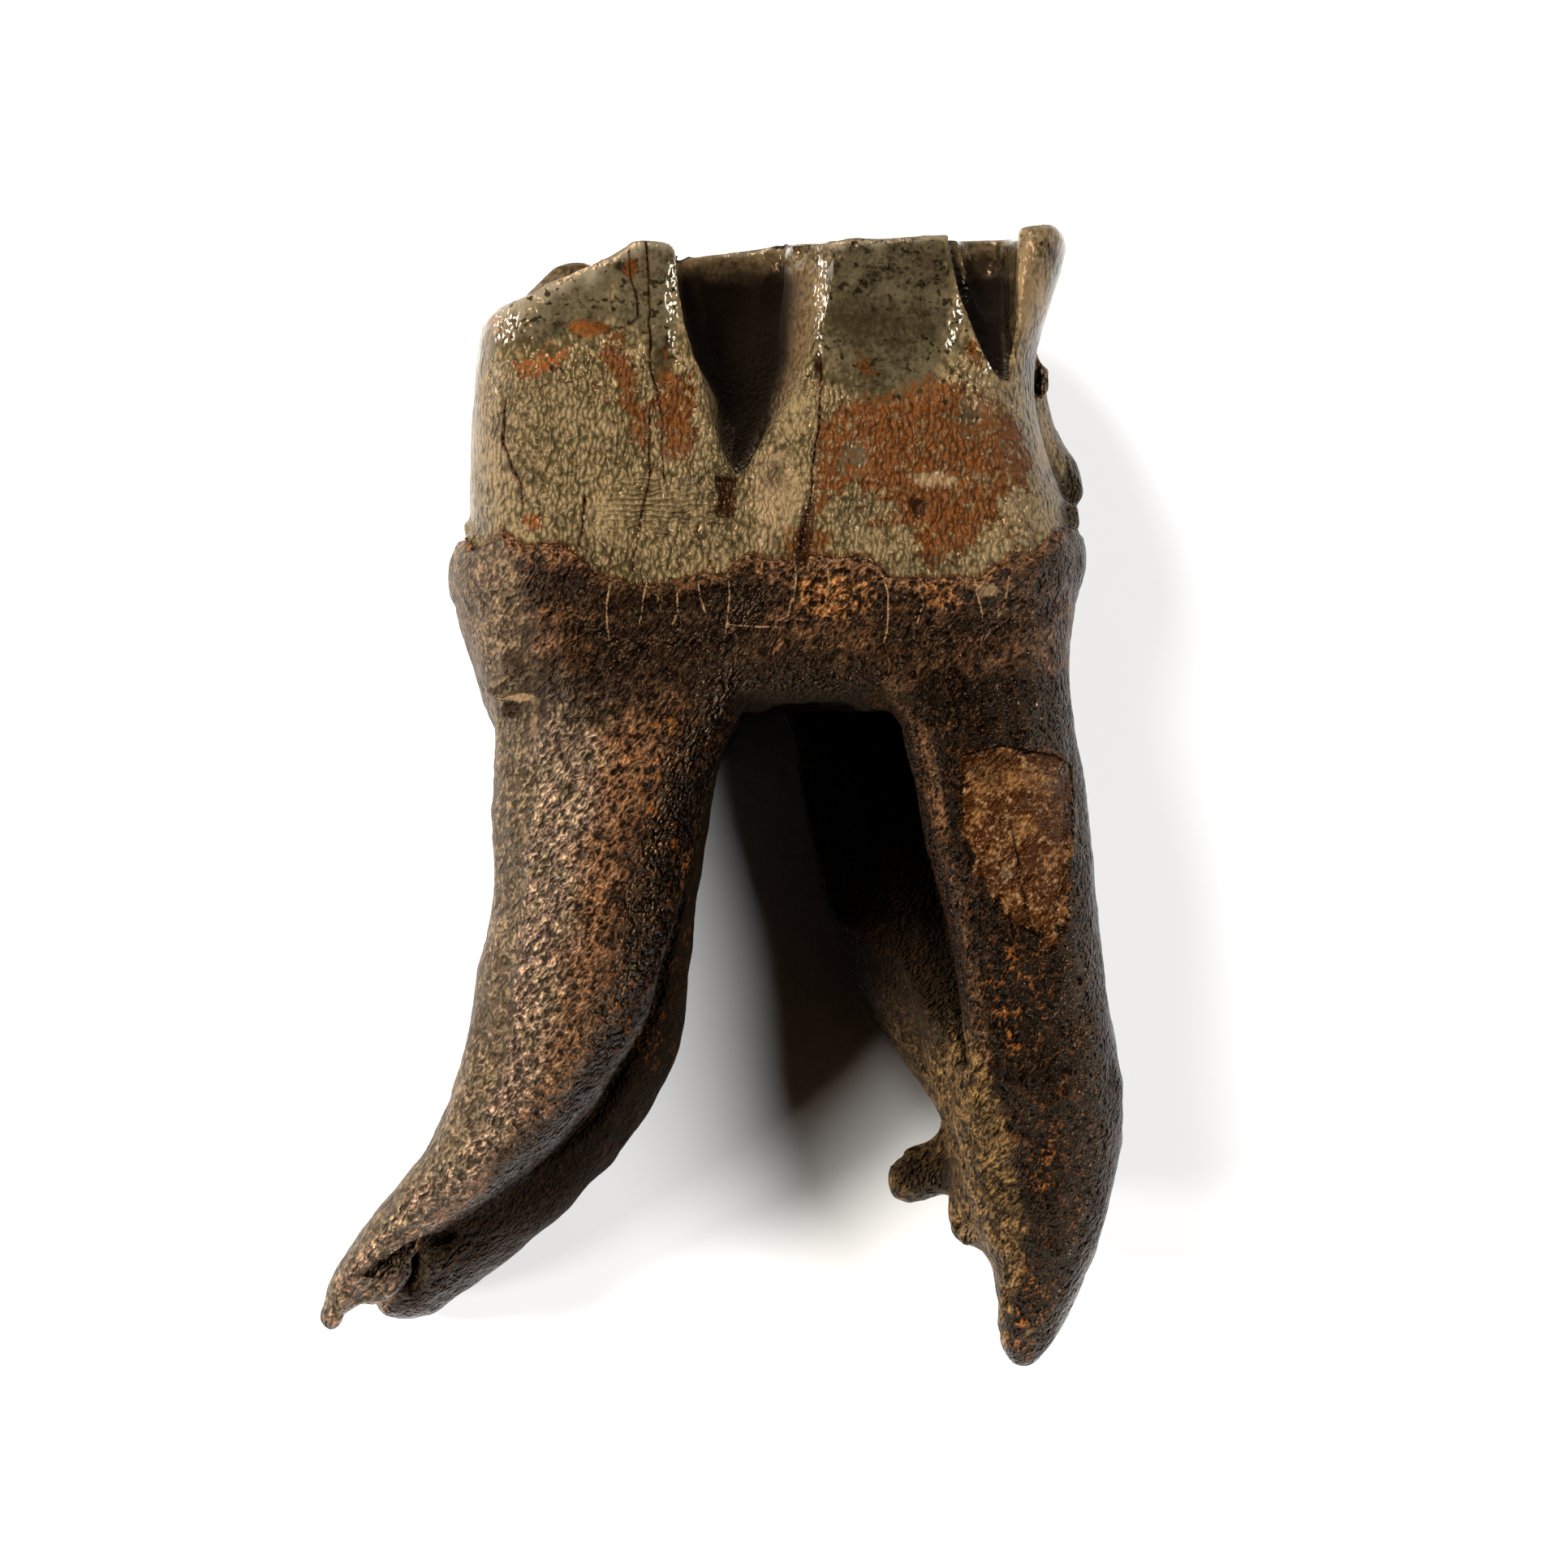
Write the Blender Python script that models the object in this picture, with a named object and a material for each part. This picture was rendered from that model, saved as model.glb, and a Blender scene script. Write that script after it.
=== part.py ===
"""Fossil lower molar of a woolly rhinoceros, lying on its cheek side.

The tooth is one grown piece: a worn two-lobed crown on two plate-like roots.
Frame: +Y runs from the root tips to the chewing surface, +X is the tooth's front
(mesial) end, +Z points away from the surface that the tooth lies on, out of its tongue side.
Every table below is in millimetres.
"""

import math

import bmesh
import bpy
import numpy as np
from mathutils import Vector, noise
from mathutils.kdtree import KDTree

MM = 0.001

REST_SHAVE = 0.45       # worn off the cheek side where the tooth touches the surface below it

# Fineness of the mesh
RING_POINTS = 40
RING_STEP = 1.5
VOXEL = 0.55
SMOOTH_PASSES = 3
FINAL_TRIANGLES = 9600

# Lobes of the crown and the neck. Each row is a slice across the tooth at height y:
# y, left edge, right edge, cheek side z, tongue side z
BACK_CROWN_LOBE = (
    (12.0, -20.0, 7.0, 1.0, 29.0),
    (22.0, -20.8, 7.0, 1.2, 29.6),
    (27.0, -20.9, 7.0, 1.6, 29.9),
    (32.0, -20.7, 6.5, 2.2, 29.6),
    (37.0, -20.2, 6.0, 3.0, 29.0),
    (42.0, -19.3, 5.6, 4.0, 28.2),
    (48.0, -18.0, 5.0, 5.2, 27.2),
)
FRONT_CROWN_LOBE = (
    (12.0, 1.5, 28.6, 1.2, 29.0),
    (20.0, 1.5, 29.2, 1.4, 29.4),
    (24.0, 1.5, 28.6, 1.6, 29.6),
    (28.0, 1.8, 27.2, 2.0, 29.5),
    (32.0, 2.2, 26.2, 2.4, 29.3),
    (36.0, 2.5, 26.3, 2.9, 29.0),
    (39.0, 2.8, 27.2, 3.4, 28.8),
    (42.0, 3.1, 28.2, 4.0, 28.5),
    (45.0, 3.3, 28.9, 4.6, 28.1),
    (49.0, 3.6, 29.0, 5.4, 27.6),
)
BROKEN_FRONT_RIM = (
    (39.0, 18.0, 25.4, 5.0, 11.6),
    (36.0, 18.0, 26.9, 4.6, 12.4),
    (32.0, 18.0, 27.6, 4.4, 13.0),
    (29.4, 18.0, 28.4, 4.4, 13.4),
    (27.6, 18.0, 29.9, 5.4, 13.0),
    (25.6, 18.0, 30.4, 6.0, 12.6),
    (23.6, 18.0, 29.8, 5.0, 13.6),
    (20.0, 18.0, 29.4, 3.0, 16.0),
)
BACK_NECK_LOBE = (
    (23.0, -20.6, 7.6, 1.6, 29.5),
    (20.8, -21.4, 8.4, 1.0, 29.9),
    (18.8, -22.2, 9.0, 0.3, 30.5),
    (16.6, -22.3, 9.0, 0.0, 30.7),
    (14.4, -21.8, 8.4, 0.1, 30.4),
    (12.0, -20.9, 7.2, 0.6, 30.0),
    (9.0, -19.8, 5.4, 1.0, 29.8),
    (6.0, -18.8, 3.0, 1.2, 29.4),
)
FRONT_NECK_LOBE = (
    (23.0, 4.2, 29.0, 1.6, 29.4),
    (20.8, 3.6, 29.7, 1.0, 29.8),
    (18.8, 3.0, 29.8, 0.3, 30.3),
    (16.6, 3.2, 29.4, 0.0, 30.5),
    (14.4, 4.2, 29.0, 0.1, 30.2),
    (12.0, 6.0, 28.8, 0.5, 30.0),
    (9.0, 9.4, 28.6, 1.0, 30.1),
    (6.0, 12.4, 28.8, 1.2, 30.0),
)
NECK_BRIDGE = (
    (25.0, -9.0, 15.0, 3.0, 28.6),
    (17.0, -9.0, 15.0, 2.6, 29.3),
    (12.0, -8.0, 15.4, 3.0, 29.0),
    (9.0, -6.0, 16.4, 4.0, 28.4),
    (7.6, -4.6, 17.4, 6.6, 26.6),
)

# Root lobes, in the same five columns
BACK_ROOT_TONGUE_LOBE = (
    (16.0, -20.4, 4.6, 11.0, 29.6),
    (11.0, -20.2, 3.8, 12.5, 29.9),
    (6.0, -18.7, 1.8, 13.5, 29.9),
    (0.0, -18.8, -0.8, 14.0, 29.5),
    (-6.0, -18.8, -2.4, 14.0, 29.0),
    (-12.0, -19.4, -3.6, 13.6, 28.2),
    (-18.0, -20.7, -5.9, 13.2, 27.2),
    (-24.0, -22.2, -9.2, 12.8, 25.8),
    (-29.0, -24.3, -13.4, 12.4, 24.2),
    (-33.0, -27.6, -18.6, 12.0, 22.2),
    (-37.0, -30.3, -24.6, 11.4, 19.6),
    (-40.0, -32.6, -27.2, 11.0, 17.6),
    (-42.6, -33.1, -30.4, 11.2, 16.0),
    (-43.9, -32.7, -31.7, 12.2, 14.8),
)
BACK_ROOT_CHEEK_LOBE = (
    (15.0, -18.0, 6.0, 1.4, 16.0),
    (5.0, -17.0, 0.9, 1.2, 15.0),
    (0.0, -16.6, -0.5, 1.1, 15.0),
    (-6.0, -16.6, -1.5, 1.0, 15.0),
    (-12.0, -17.0, -2.2, 0.8, 14.6),
    (-18.0, -18.0, -2.9, 0.5, 14.0),
    (-22.0, -19.0, -3.7, 0.3, 13.6),
    (-27.0, -20.6, -6.6, 0.1, 13.0),
    (-31.0, -22.6, -9.4, 0.0, 12.4),
    (-35.0, -25.2, -13.6, 0.0, 11.4),
    (-38.5, -28.0, -17.8, 0.2, 10.2),
    (-41.0, -29.6, -21.2, 0.8, 9.0),
    (-43.4, -28.4, -24.0, 2.2, 6.6),
)
BACK_ROOT_WEB = (
    (12.0, -20.6, 3.6, 6.0, 22.0),
    (5.0, -18.3, 0.4, 6.0, 22.0),
    (-2.0, -17.3, -3.0, 6.0, 22.0),
    (-12.0, -17.4, -5.4, 6.0, 21.0),
    (-22.0, -19.4, -8.8, 6.0, 20.0),
    (-29.0, -22.4, -13.4, 6.0, 18.0),
    (-34.0, -26.0, -19.6, 6.0, 16.0),
)
FRONT_ROOT_TONGUE_LOBE = (
    (16.0, 10.0, 29.2, 11.0, 29.6),
    (11.0, 12.6, 28.7, 12.5, 30.1),
    (6.0, 14.2, 29.0, 13.5, 30.1),
    (0.0, 16.0, 29.8, 14.0, 29.8),
    (-6.0, 17.2, 30.5, 13.6, 29.2),
    (-12.0, 18.2, 31.1, 13.2, 28.4),
    (-18.0, 19.0, 32.1, 12.6, 27.4),
    (-24.0, 19.2, 32.8, 12.2, 26.4),
    (-29.0, 19.4, 32.9, 12.0, 25.2),
    (-33.0, 20.0, 32.2, 12.0, 24.2),
    (-36.0, 21.0, 31.3, 12.2, 23.2),
    (-40.0, 22.6, 29.7, 12.8, 21.6),
    (-43.5, 22.8, 28.2, 13.6, 20.2),
    (-46.0, 23.2, 26.7, 14.8, 18.8),
    (-47.3, 24.3, 25.5, 16.0, 17.6),
)
FRONT_ROOT_CHEEK_LOBE = (
    (15.0, 3.0, 28.4, 1.4, 16.0),
    (5.0, 5.8, 26.6, 1.0, 15.4),
    (-1.0, 6.8, 26.6, 0.8, 15.0),
    (-7.0, 8.0, 26.6, 0.5, 14.8),
    (-12.0, 9.9, 27.0, 0.2, 14.4),
    (-17.0, 12.2, 27.5, 0.0, 14.0),
    (-21.0, 14.7, 27.8, 0.0, 13.2),
    (-25.0, 17.4, 28.0, 0.2, 12.6),
    (-30.0, 19.4, 28.2, 1.2, 12.2),
    (-35.0, 21.6, 28.0, 3.2, 11.8),
    (-38.5, 23.6, 27.4, 5.6, 10.6),
)
FRONT_ROOT_WEB = (
    (12.0, 8.0, 28.7, 6.0, 22.0),
    (5.0, 10.6, 28.4, 6.0, 22.0),
    (-2.0, 12.6, 28.0, 6.0, 22.0),
    (-12.0, 14.6, 28.6, 6.0, 21.0),
    (-24.0, 17.6, 30.0, 6.0, 20.0),
    (-34.0, 19.6, 29.4, 7.0, 19.0),
    (-38.0, 22.4, 28.2, 8.0, 18.0),
)

# Valleys open to the tongue side. Each row is a V across the tooth at depth z:
# z, x of the V's foot, y of the foot, left lip x, right lip x, the lips both at height LIP_Y
LIP_Y = 46.0
HIND_VALLEY = (
    (36.0, 1.4, 22.6, -4.8, 11.0),
    (29.6, 1.5, 25.2, -3.4, 7.9),
    (25.0, 1.3, 27.6, -3.0, 6.3),
    (20.0, 1.1, 30.6, -3.0, 5.4),
    (16.0, 0.8, 33.6, -2.8, 4.8),
    (13.4, 0.6, 37.0, -2.2, 4.0),
)
FORE_VALLEY = (
    (35.0, 24.3, 32.6, 18.0, 25.2),
    (28.6, 23.9, 34.4, 19.1, 24.1),
    (22.0, 23.0, 36.4, 19.6, 23.9),
    (16.0, 22.2, 39.0, 19.8, 23.7),
    (12.6, 21.9, 42.0, 20.0, 23.4),
)
VALLEY_BLUNTNESS = 1.25     # 1 is a sharp V, 2 a parabola
VALLEY_REACH = 1.4          # how far a lip is carried on past LIP_Y, as a share of the V's depth

# Height of the worn chewing edge along x, on the tongue side and on the cheek side
TONGUE_EDGE = (
    (-24.0, 37.0), (-20.2, 38.9), (-18.7, 39.9), (-17.4, 40.8), (-15.4, 41.6), (-10.6, 44.1),
    (-9.3, 44.2), (-8.2, 45.1), (-7.0, 45.9), (-4.4, 45.8), (-3.4, 45.2), (4.8, 45.7),
    (7.6, 45.9), (9.4, 46.1), (18.6, 46.3), (23.4, 46.5), (25.0, 47.1), (27.4, 47.3),
    (28.6, 46.2), (31.0, 43.4),
)
CHEEK_EDGE = (
    (-24.0, 37.0), (-19.0, 38.8), (-16.0, 42.0), (-14.0, 44.2), (-11.6, 44.7), (-10.0, 44.0),
    (-4.0, 44.6), (4.8, 45.8), (7.6, 46.2), (12.0, 45.8), (18.0, 46.1), (24.0, 46.4),
    (28.6, 45.2), (31.0, 43.4),
)
EDGE_TOP = 60.0
EDGE_SPACING = 0.5
BLOCK_RULED_Z = (9.0, 25.0)     # the ruled part of the chewing surface lies between these depths
BLOCK_REACH_Z = (-8.0, 40.0)

# Worn hollows in the chewing surface. Its faces tilt less than the walls round them
WALL_BOTTOM = 30.0
WALL_TILT = 0.45
HOLLOW_BOTTOM = 34.0
HOLLOW_TILT = 0.6
ENAMEL_THICKNESS = 1.5
HOLLOW_RAMP = 1.2
HOLLOW_DEPTH = 1.6

# Squareness of a lobe's slices on the tongue side and the cheek side: 2 is an ellipse, more is squarer
SQUARENESS = {
    "back_crown": (3.6, 2.6),
    "front_crown": (3.8, 2.7),
    "neck": (3.2, 2.5),
    "bridge": (4.0, 3.0),
    "back_root": (2.4, 2.3),
    "front_root": (3.0, 2.4),
    "cheek_root": (2.3, 2.3),
    "web": (2.6, 2.6),
}

# Uneven growth of the surface: how far it swells and dips, and how wide the swellings are
SWELLINGS = (
    (0.42, 9.0),
    (0.2, 3.6),
)
CROWN_SHARE = 0.45      # the enamel is smoother than the cement below it
CEMENT_TOP = 20.0

# Broken stub and bumps on the front root: centre, half sizes, turn about Z in degrees
LUMPS = {
    "stub": ((17.4, -30.8, 9.6), (4.6, 2.3, 2.4), 24.0),
    "stub_end": ((15.6, -31.4, 9.4), (2.0, 2.4, 2.3), 0.0),
    "shelf": ((21.4, -33.6, 15.6), (3.0, 3.6, 4.0), 0.0),
    "shelf_knob": ((20.2, -35.9, 15.4), (1.5, 1.5, 1.8), 0.0),
    "back_tip_knob": ((-27.8, -39.0, 13.6), (2.4, 1.7, 2.6), 30.0),
}


def clear_scene():
    for obj in list(bpy.data.objects):
        bpy.data.objects.remove(obj)


def rows_between(rows, step):
    """The table's rows with smooth ones added between them, about one step apart."""
    table = np.array(rows, float)
    padded = np.vstack([2 * table[0] - table[1], table, 2 * table[-1] - table[-2]])
    made = []
    for i in range(1, len(padded) - 2):
        before, start, end, after = padded[i - 1:i + 3]
        count = max(1, round(abs(end[0] - start[0]) / step))
        for share in np.arange(count) / count:
            bend = (
                (2 * before - 5 * start + 4 * end - after) * share
                + (3 * start - before - 3 * end + after) * share ** 2
            )
            row = start + 0.5 * share * (end - before + bend)
            row[0] = start[0] + share * (end[0] - start[0])
            made.append(row)
    made.append(table[-1])
    return made


def skin(rings, closed_ends=True):
    """A bmesh skinned over rings of points, with its ends filled."""
    shell = bmesh.new()
    loops = [[shell.verts.new(point) for point in ring] for ring in rings]
    for one, two in zip(loops, loops[1:]):
        for i in range(len(one)):
            j = (i + 1) % len(one)
            shell.faces.new((one[i], one[j], two[j], two[i]))
    if closed_ends:
        shell.faces.new(loops[0][::-1])
        shell.faces.new(loops[-1])
    bmesh.ops.recalc_face_normals(shell, faces=shell.faces)
    return shell


def slice_ring(row, squareness):
    """A rounded slice at height y."""
    y, left, right, low, high = row
    ring = []
    for i in range(RING_POINTS):
        angle = 2 * math.pi * i / RING_POINTS
        across, up = math.cos(angle), math.sin(angle)
        power = 2 / squareness[0 if up > 0 else 1]
        x = (left + right) / 2 + (right - left) / 2 * math.copysign(abs(across) ** power, across)
        z = (low + high) / 2 + (high - low) / 2 * math.copysign(abs(up) ** power, up)
        ring.append(Vector((x, y, z)) * MM)
    return ring


def lobe(rows, shape):
    return skin([slice_ring(row, SQUARENESS[shape]) for row in rows_between(rows, RING_STEP)])


def valley_ring(row):
    """A V in the XY plane at depth z, with its lips carried on upwards past the chewing surface."""
    z, foot_x, foot_y, left, right = row
    ring = []
    for i in range(RING_POINTS + 1):
        share = (2 * i / RING_POINTS - 1) * VALLEY_REACH
        lip = right if share > 0 else left
        x = foot_x + abs(share) * (lip - foot_x)
        y = foot_y + abs(share) ** VALLEY_BLUNTNESS * (LIP_Y - foot_y)
        ring.append(Vector((x, y, z)) * MM)
    return ring


def valley(name, rows):
    return joined(name, [skin([valley_ring(row) for row in rows_between(rows, RING_STEP)])])


def lump(centre, half, turn):
    ball = bmesh.new()
    bmesh.ops.create_icosphere(ball, subdivisions=3, radius=1.0)
    cos, sin = math.cos(math.radians(turn)), math.sin(math.radians(turn))
    for vert in ball.verts:
        x, y, z = (vert.co[i] * half[i] for i in range(3))
        vert.co = Vector((centre[0] + x * cos - y * sin, centre[1] + x * sin + y * cos, centre[2] + z)) * MM
    return ball


def joined(name, shells):
    mesh = bpy.data.meshes.new(name)
    whole = bmesh.new()
    for shell in shells:
        shell.to_mesh(mesh)
        whole.from_mesh(mesh)
        shell.free()
    whole.to_mesh(mesh)
    whole.free()
    obj = bpy.data.objects.new(name, mesh)
    bpy.context.scene.collection.objects.link(obj)
    return obj


def as_cutter(obj):
    obj.hide_render = True
    obj.display_type = "WIRE"
    return obj


def occlusal_block():
    """The space above the chewing surface. Its lower face is ruled between the two worn edges."""
    xs = np.arange(TONGUE_EDGE[0][0], TONGUE_EDGE[-1][0] + EDGE_SPACING, EDGE_SPACING)
    tongue = np.interp(xs, *zip(*TONGUE_EDGE))
    cheek = np.interp(xs, *zip(*CHEEK_EDGE))
    (inner, outer), (bottom, top) = BLOCK_RULED_Z, BLOCK_REACH_Z
    rings = []
    for x, high, low in zip(xs, tongue, cheek):
        face = ((high, top), (high, outer), (low, inner), (low, bottom))
        roof = ((EDGE_TOP, bottom), (EDGE_TOP, top))
        rings.append([Vector((x, y, z)) * MM for y, z in face + roof])
    return joined("occlusal_cutter", [skin(rings)])


def add_remesh(obj):
    remesh = obj.modifiers.new("Even skin", "REMESH")
    remesh.mode = "VOXEL"
    remesh.voxel_size = VOXEL * MM


def cut(obj, cutter):
    boolean = obj.modifiers.new(cutter.name, "BOOLEAN")
    boolean.operation = "DIFFERENCE"
    boolean.object = as_cutter(cutter)


def apply_modifiers(obj):
    graph = bpy.context.evaluated_depsgraph_get()
    mesh = bpy.data.meshes.new_from_object(obj.evaluated_get(graph))
    obj.modifiers.clear()
    obj.data = mesh


def hollow_chewing_surface(mesh):
    """Lowers the softer dentine inside the enamel rim of the worn surface."""
    mesh.calc_loop_triangles()
    points = [vert.co.copy() for vert in mesh.vertices]
    normals = [vert.normal.copy() for vert in mesh.vertices]
    walls = [p for p, n in zip(points, normals) if p.y > WALL_BOTTOM * MM and n.y < WALL_TILT]
    tree = KDTree(len(walls))
    for i, point in enumerate(walls):
        tree.insert(point, i)
    tree.balance()
    for vert, point, normal in zip(mesh.vertices, points, normals):
        if point.y < HOLLOW_BOTTOM * MM or normal.y < HOLLOW_TILT:
            continue
        inside = tree.find(point)[2] / MM - ENAMEL_THICKNESS
        share = min(1.0, max(0.0, inside / HOLLOW_RAMP))
        vert.co.y -= HOLLOW_DEPTH * MM * share * share * (3 - 2 * share)


def swell(mesh):
    """Gives the surface its low, uneven swellings."""
    normals = [vert.normal.copy() for vert in mesh.vertices]
    for vert, normal in zip(mesh.vertices, normals):
        place = vert.co / MM
        share = CROWN_SHARE if place.y > CEMENT_TOP else 1.0
        for height, width in SWELLINGS:
            vert.co += normal * (share * height * MM * noise.noise(place / width))


def decimate(obj, triangles):
    count = sum(len(face.vertices) - 2 for face in obj.data.polygons)
    fewer = obj.modifiers.new("Fewer faces", "DECIMATE")
    fewer.ratio = triangles / count
    fewer.use_collapse_triangulate = True


def settle(mesh):
    """Shaves the resting spots to one plane, and moves the origin below the middle of the box."""
    lowest = min(vert.co.z for vert in mesh.vertices) + REST_SHAVE * MM
    body = bmesh.new()
    body.from_mesh(mesh)
    everything = body.verts[:] + body.edges[:] + body.faces[:]
    plane = {"plane_co": (0, 0, lowest), "plane_no": (0, 0, -1)}
    bmesh.ops.bisect_plane(body, geom=everything, clear_outer=True, **plane)
    edges = [edge for edge in body.edges if edge.is_boundary]
    bmesh.ops.holes_fill(body, edges=edges, sides=0)
    bmesh.ops.triangulate(body, faces=body.faces)
    bmesh.ops.recalc_face_normals(body, faces=body.faces)
    xs = [vert.co.x for vert in body.verts]
    ys = [vert.co.y for vert in body.verts]
    middle = Vector(((min(xs) + max(xs)) / 2, (min(ys) + max(ys)) / 2, lowest))
    bmesh.ops.translate(body, verts=body.verts, vec=-middle)
    body.to_mesh(mesh)
    body.free()


def fossil_material():
    material = bpy.data.materials.new("fossil_tooth")
    material.use_nodes = True
    shader = material.node_tree.nodes["Principled BSDF"]
    shader.inputs["Base Color"].default_value = (0.17, 0.12, 0.075, 1.0)
    shader.inputs["Roughness"].default_value = 0.42
    shader.inputs["Metallic"].default_value = 0.0
    return material


def build_tooth():
    shells = [
        lobe(BACK_CROWN_LOBE, "back_crown"),
        lobe(FRONT_CROWN_LOBE, "front_crown"),
        lobe(BROKEN_FRONT_RIM, "web"),
        lobe(BACK_NECK_LOBE, "neck"),
        lobe(FRONT_NECK_LOBE, "neck"),
        lobe(NECK_BRIDGE, "bridge"),
        lobe(BACK_ROOT_TONGUE_LOBE, "back_root"),
        lobe(BACK_ROOT_CHEEK_LOBE, "cheek_root"),
        lobe(BACK_ROOT_WEB, "web"),
        lobe(FRONT_ROOT_TONGUE_LOBE, "front_root"),
        lobe(FRONT_ROOT_CHEEK_LOBE, "cheek_root"),
        lobe(FRONT_ROOT_WEB, "web"),
    ]
    shells += [lump(*sizes) for sizes in LUMPS.values()]
    tooth = joined("tooth", shells)
    add_remesh(tooth)
    cut(tooth, valley("hind_valley_cutter", HIND_VALLEY))
    cut(tooth, valley("fore_valley_cutter", FORE_VALLEY))
    cut(tooth, occlusal_block())
    add_remesh(tooth)
    soften = tooth.modifiers.new("Soften", "SMOOTH")
    soften.factor = 0.5
    soften.iterations = SMOOTH_PASSES
    apply_modifiers(tooth)
    hollow_chewing_surface(tooth.data)
    swell(tooth.data)
    decimate(tooth, FINAL_TRIANGLES)
    apply_modifiers(tooth)
    settle(tooth.data)
    tooth.data.materials.clear()
    tooth.data.materials.append(fossil_material())
    return tooth


clear_scene()
build_tooth()
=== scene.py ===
import itertools
import math

import bpy
import numpy as np
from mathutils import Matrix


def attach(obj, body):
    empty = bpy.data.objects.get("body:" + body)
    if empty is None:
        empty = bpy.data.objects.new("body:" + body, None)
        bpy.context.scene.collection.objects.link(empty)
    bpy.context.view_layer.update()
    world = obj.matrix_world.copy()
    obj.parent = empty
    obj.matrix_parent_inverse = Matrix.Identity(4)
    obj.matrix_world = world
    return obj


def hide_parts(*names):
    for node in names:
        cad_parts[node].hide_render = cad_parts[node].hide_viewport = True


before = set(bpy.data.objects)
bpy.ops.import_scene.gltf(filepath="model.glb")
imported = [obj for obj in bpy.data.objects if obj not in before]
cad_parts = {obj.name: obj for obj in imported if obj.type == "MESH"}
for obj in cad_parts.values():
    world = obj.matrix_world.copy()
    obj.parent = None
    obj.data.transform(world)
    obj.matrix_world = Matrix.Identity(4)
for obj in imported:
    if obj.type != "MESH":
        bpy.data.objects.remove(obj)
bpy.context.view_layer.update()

import openvdb
from mathutils import Vector

mm = 0.001

# The photograph's frame. The tooth lies with its tongue side up, so the photo looks straight down on it
photo = {
    "width": 1932,
    "height": 1931,
    "pixelsPerMm": 15.0,
    "originColumn": 888.0,      # the pixel above the frame's origin
    "originRow": 981.0,
}
camera = {
    "lens": 500.0,
    "sensor": 36.0,
    "sharpHeight": 15.0,        # mm above the floor, where the photo's scale holds
}


def onPhoto(points):            # photo pixels to mm in the tooth's own frame
    spots = np.array(points, float)
    across = (spots[:, 0] - photo["originColumn"]) / photo["pixelsPerMm"]
    up = (photo["originRow"] - spots[:, 1]) / photo["pixelsPerMm"]
    return np.column_stack([across, up])


def placeCamera():
    eye = bpy.data.cameras.new("photoCamera")
    eye.lens = camera["lens"]
    eye.sensor_width = camera["sensor"]
    viewWidth = photo["width"] / photo["pixelsPerMm"] * mm
    distance = viewWidth * camera["lens"] / camera["sensor"]
    holder = bpy.data.objects.new("photoCamera", eye)
    middle = onPhoto([(photo["width"] / 2, photo["height"] / 2)])[0] * mm
    holder.location = (middle[0], middle[1], camera["sharpHeight"] * mm + distance)
    bpy.context.scene.collection.objects.link(holder)
    bpy.context.scene.camera = holder


# Soft boxes round the tooth: azimuth in degrees clockwise from the crown's side of the photo, height
# angle, size in metres, and watts
lights = {
    "leftSoftBox": {"azimuth": 274, "height": 35, "size": 0.20, "power": 11.5, "colour": (1.0, 0.97, 0.92)},
    "topSoftBox": {"azimuth": 335, "height": 33, "size": 0.30, "power": 9.5, "colour": (1.0, 0.975, 0.93)},
    "rightSoftBox": {"azimuth": 95, "height": 47, "size": 0.34, "power": 9.3,
                     "colour": (0.99, 0.985, 0.98)},
    "lowSoftBox": {"azimuth": 248, "height": 18, "size": 0.16, "power": 4.0, "colour": (1.0, 0.96, 0.90)},
}
room = {
    "brightness": 0.0,          # of the sky all round
    "distance": 0.85,           # m from the tooth to each light
    "middle": (0.005, 0.0, 0.015),
    "floorSize": 3.0,
    "floorColour": (0.88, 0.88, 0.88),
    "floorRoughness": 0.9,
    "floorGloss": 0.1,
}


def lightRoom():
    for name, values in lights.items():
        lamp = bpy.data.lights.new(name, "AREA")
        lamp.shape = "DISK"
        lamp.size = values["size"]
        lamp.energy = values["power"]
        lamp.color = values["colour"]
        holder = bpy.data.objects.new(name, lamp)
        azimuth, height = math.radians(values["azimuth"]), math.radians(values["height"])
        level = math.cos(height)
        away = Vector((math.sin(azimuth) * level, math.cos(azimuth) * level, math.sin(height)))
        holder.location = Vector(room["middle"]) + away * room["distance"]
        holder.rotation_euler = (-away).to_track_quat("-Z", "Y").to_euler()
        bpy.context.scene.collection.objects.link(holder)
    world = bpy.data.worlds.new("studio")
    world.use_nodes = True
    sky = world.node_tree.nodes["Background"]
    sky.inputs["Color"].default_value = (1.0, 1.0, 1.0, 1.0)
    sky.inputs["Strength"].default_value = room["brightness"]
    bpy.context.scene.world = world
    bpy.context.scene.view_settings.view_transform = "Standard"


def layFloor():
    half = room["floorSize"] / 2
    mesh = bpy.data.meshes.new("floor")
    corners = [(-half, -half, 0), (half, -half, 0), (half, half, 0), (-half, half, 0)]
    mesh.from_pydata(corners, [], [(0, 1, 2, 3)])
    floor = bpy.data.objects.new("floor", mesh)
    paper = bpy.data.materials.new("palePaper")
    paper.use_nodes = True
    surface = paper.node_tree.nodes["Principled BSDF"]
    surface.inputs["Base Color"].default_value = (*room["floorColour"], 1.0)
    surface.inputs["Roughness"].default_value = room["floorRoughness"]
    surface.inputs["Specular IOR Level"].default_value = room["floorGloss"]
    mesh.materials.append(paper)
    bpy.context.scene.collection.objects.link(floor)


placeCamera()
lightRoom()
layFloor()
print("camera, lights and floor are set")


# The tooth as a distance field on an even grid. All its numbers are in mm
fine = {
    "voxel": 0.30,
    "band": 12,                 # voxels of distance kept on each side of the surface
    "crownBlur": 0.38,          # takes the facets off the worn, crisp crown
    "rootBlur": 0.80,
    "blurTop": (19.0, 25.0),    # the height where one blur fades into the other
}


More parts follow.
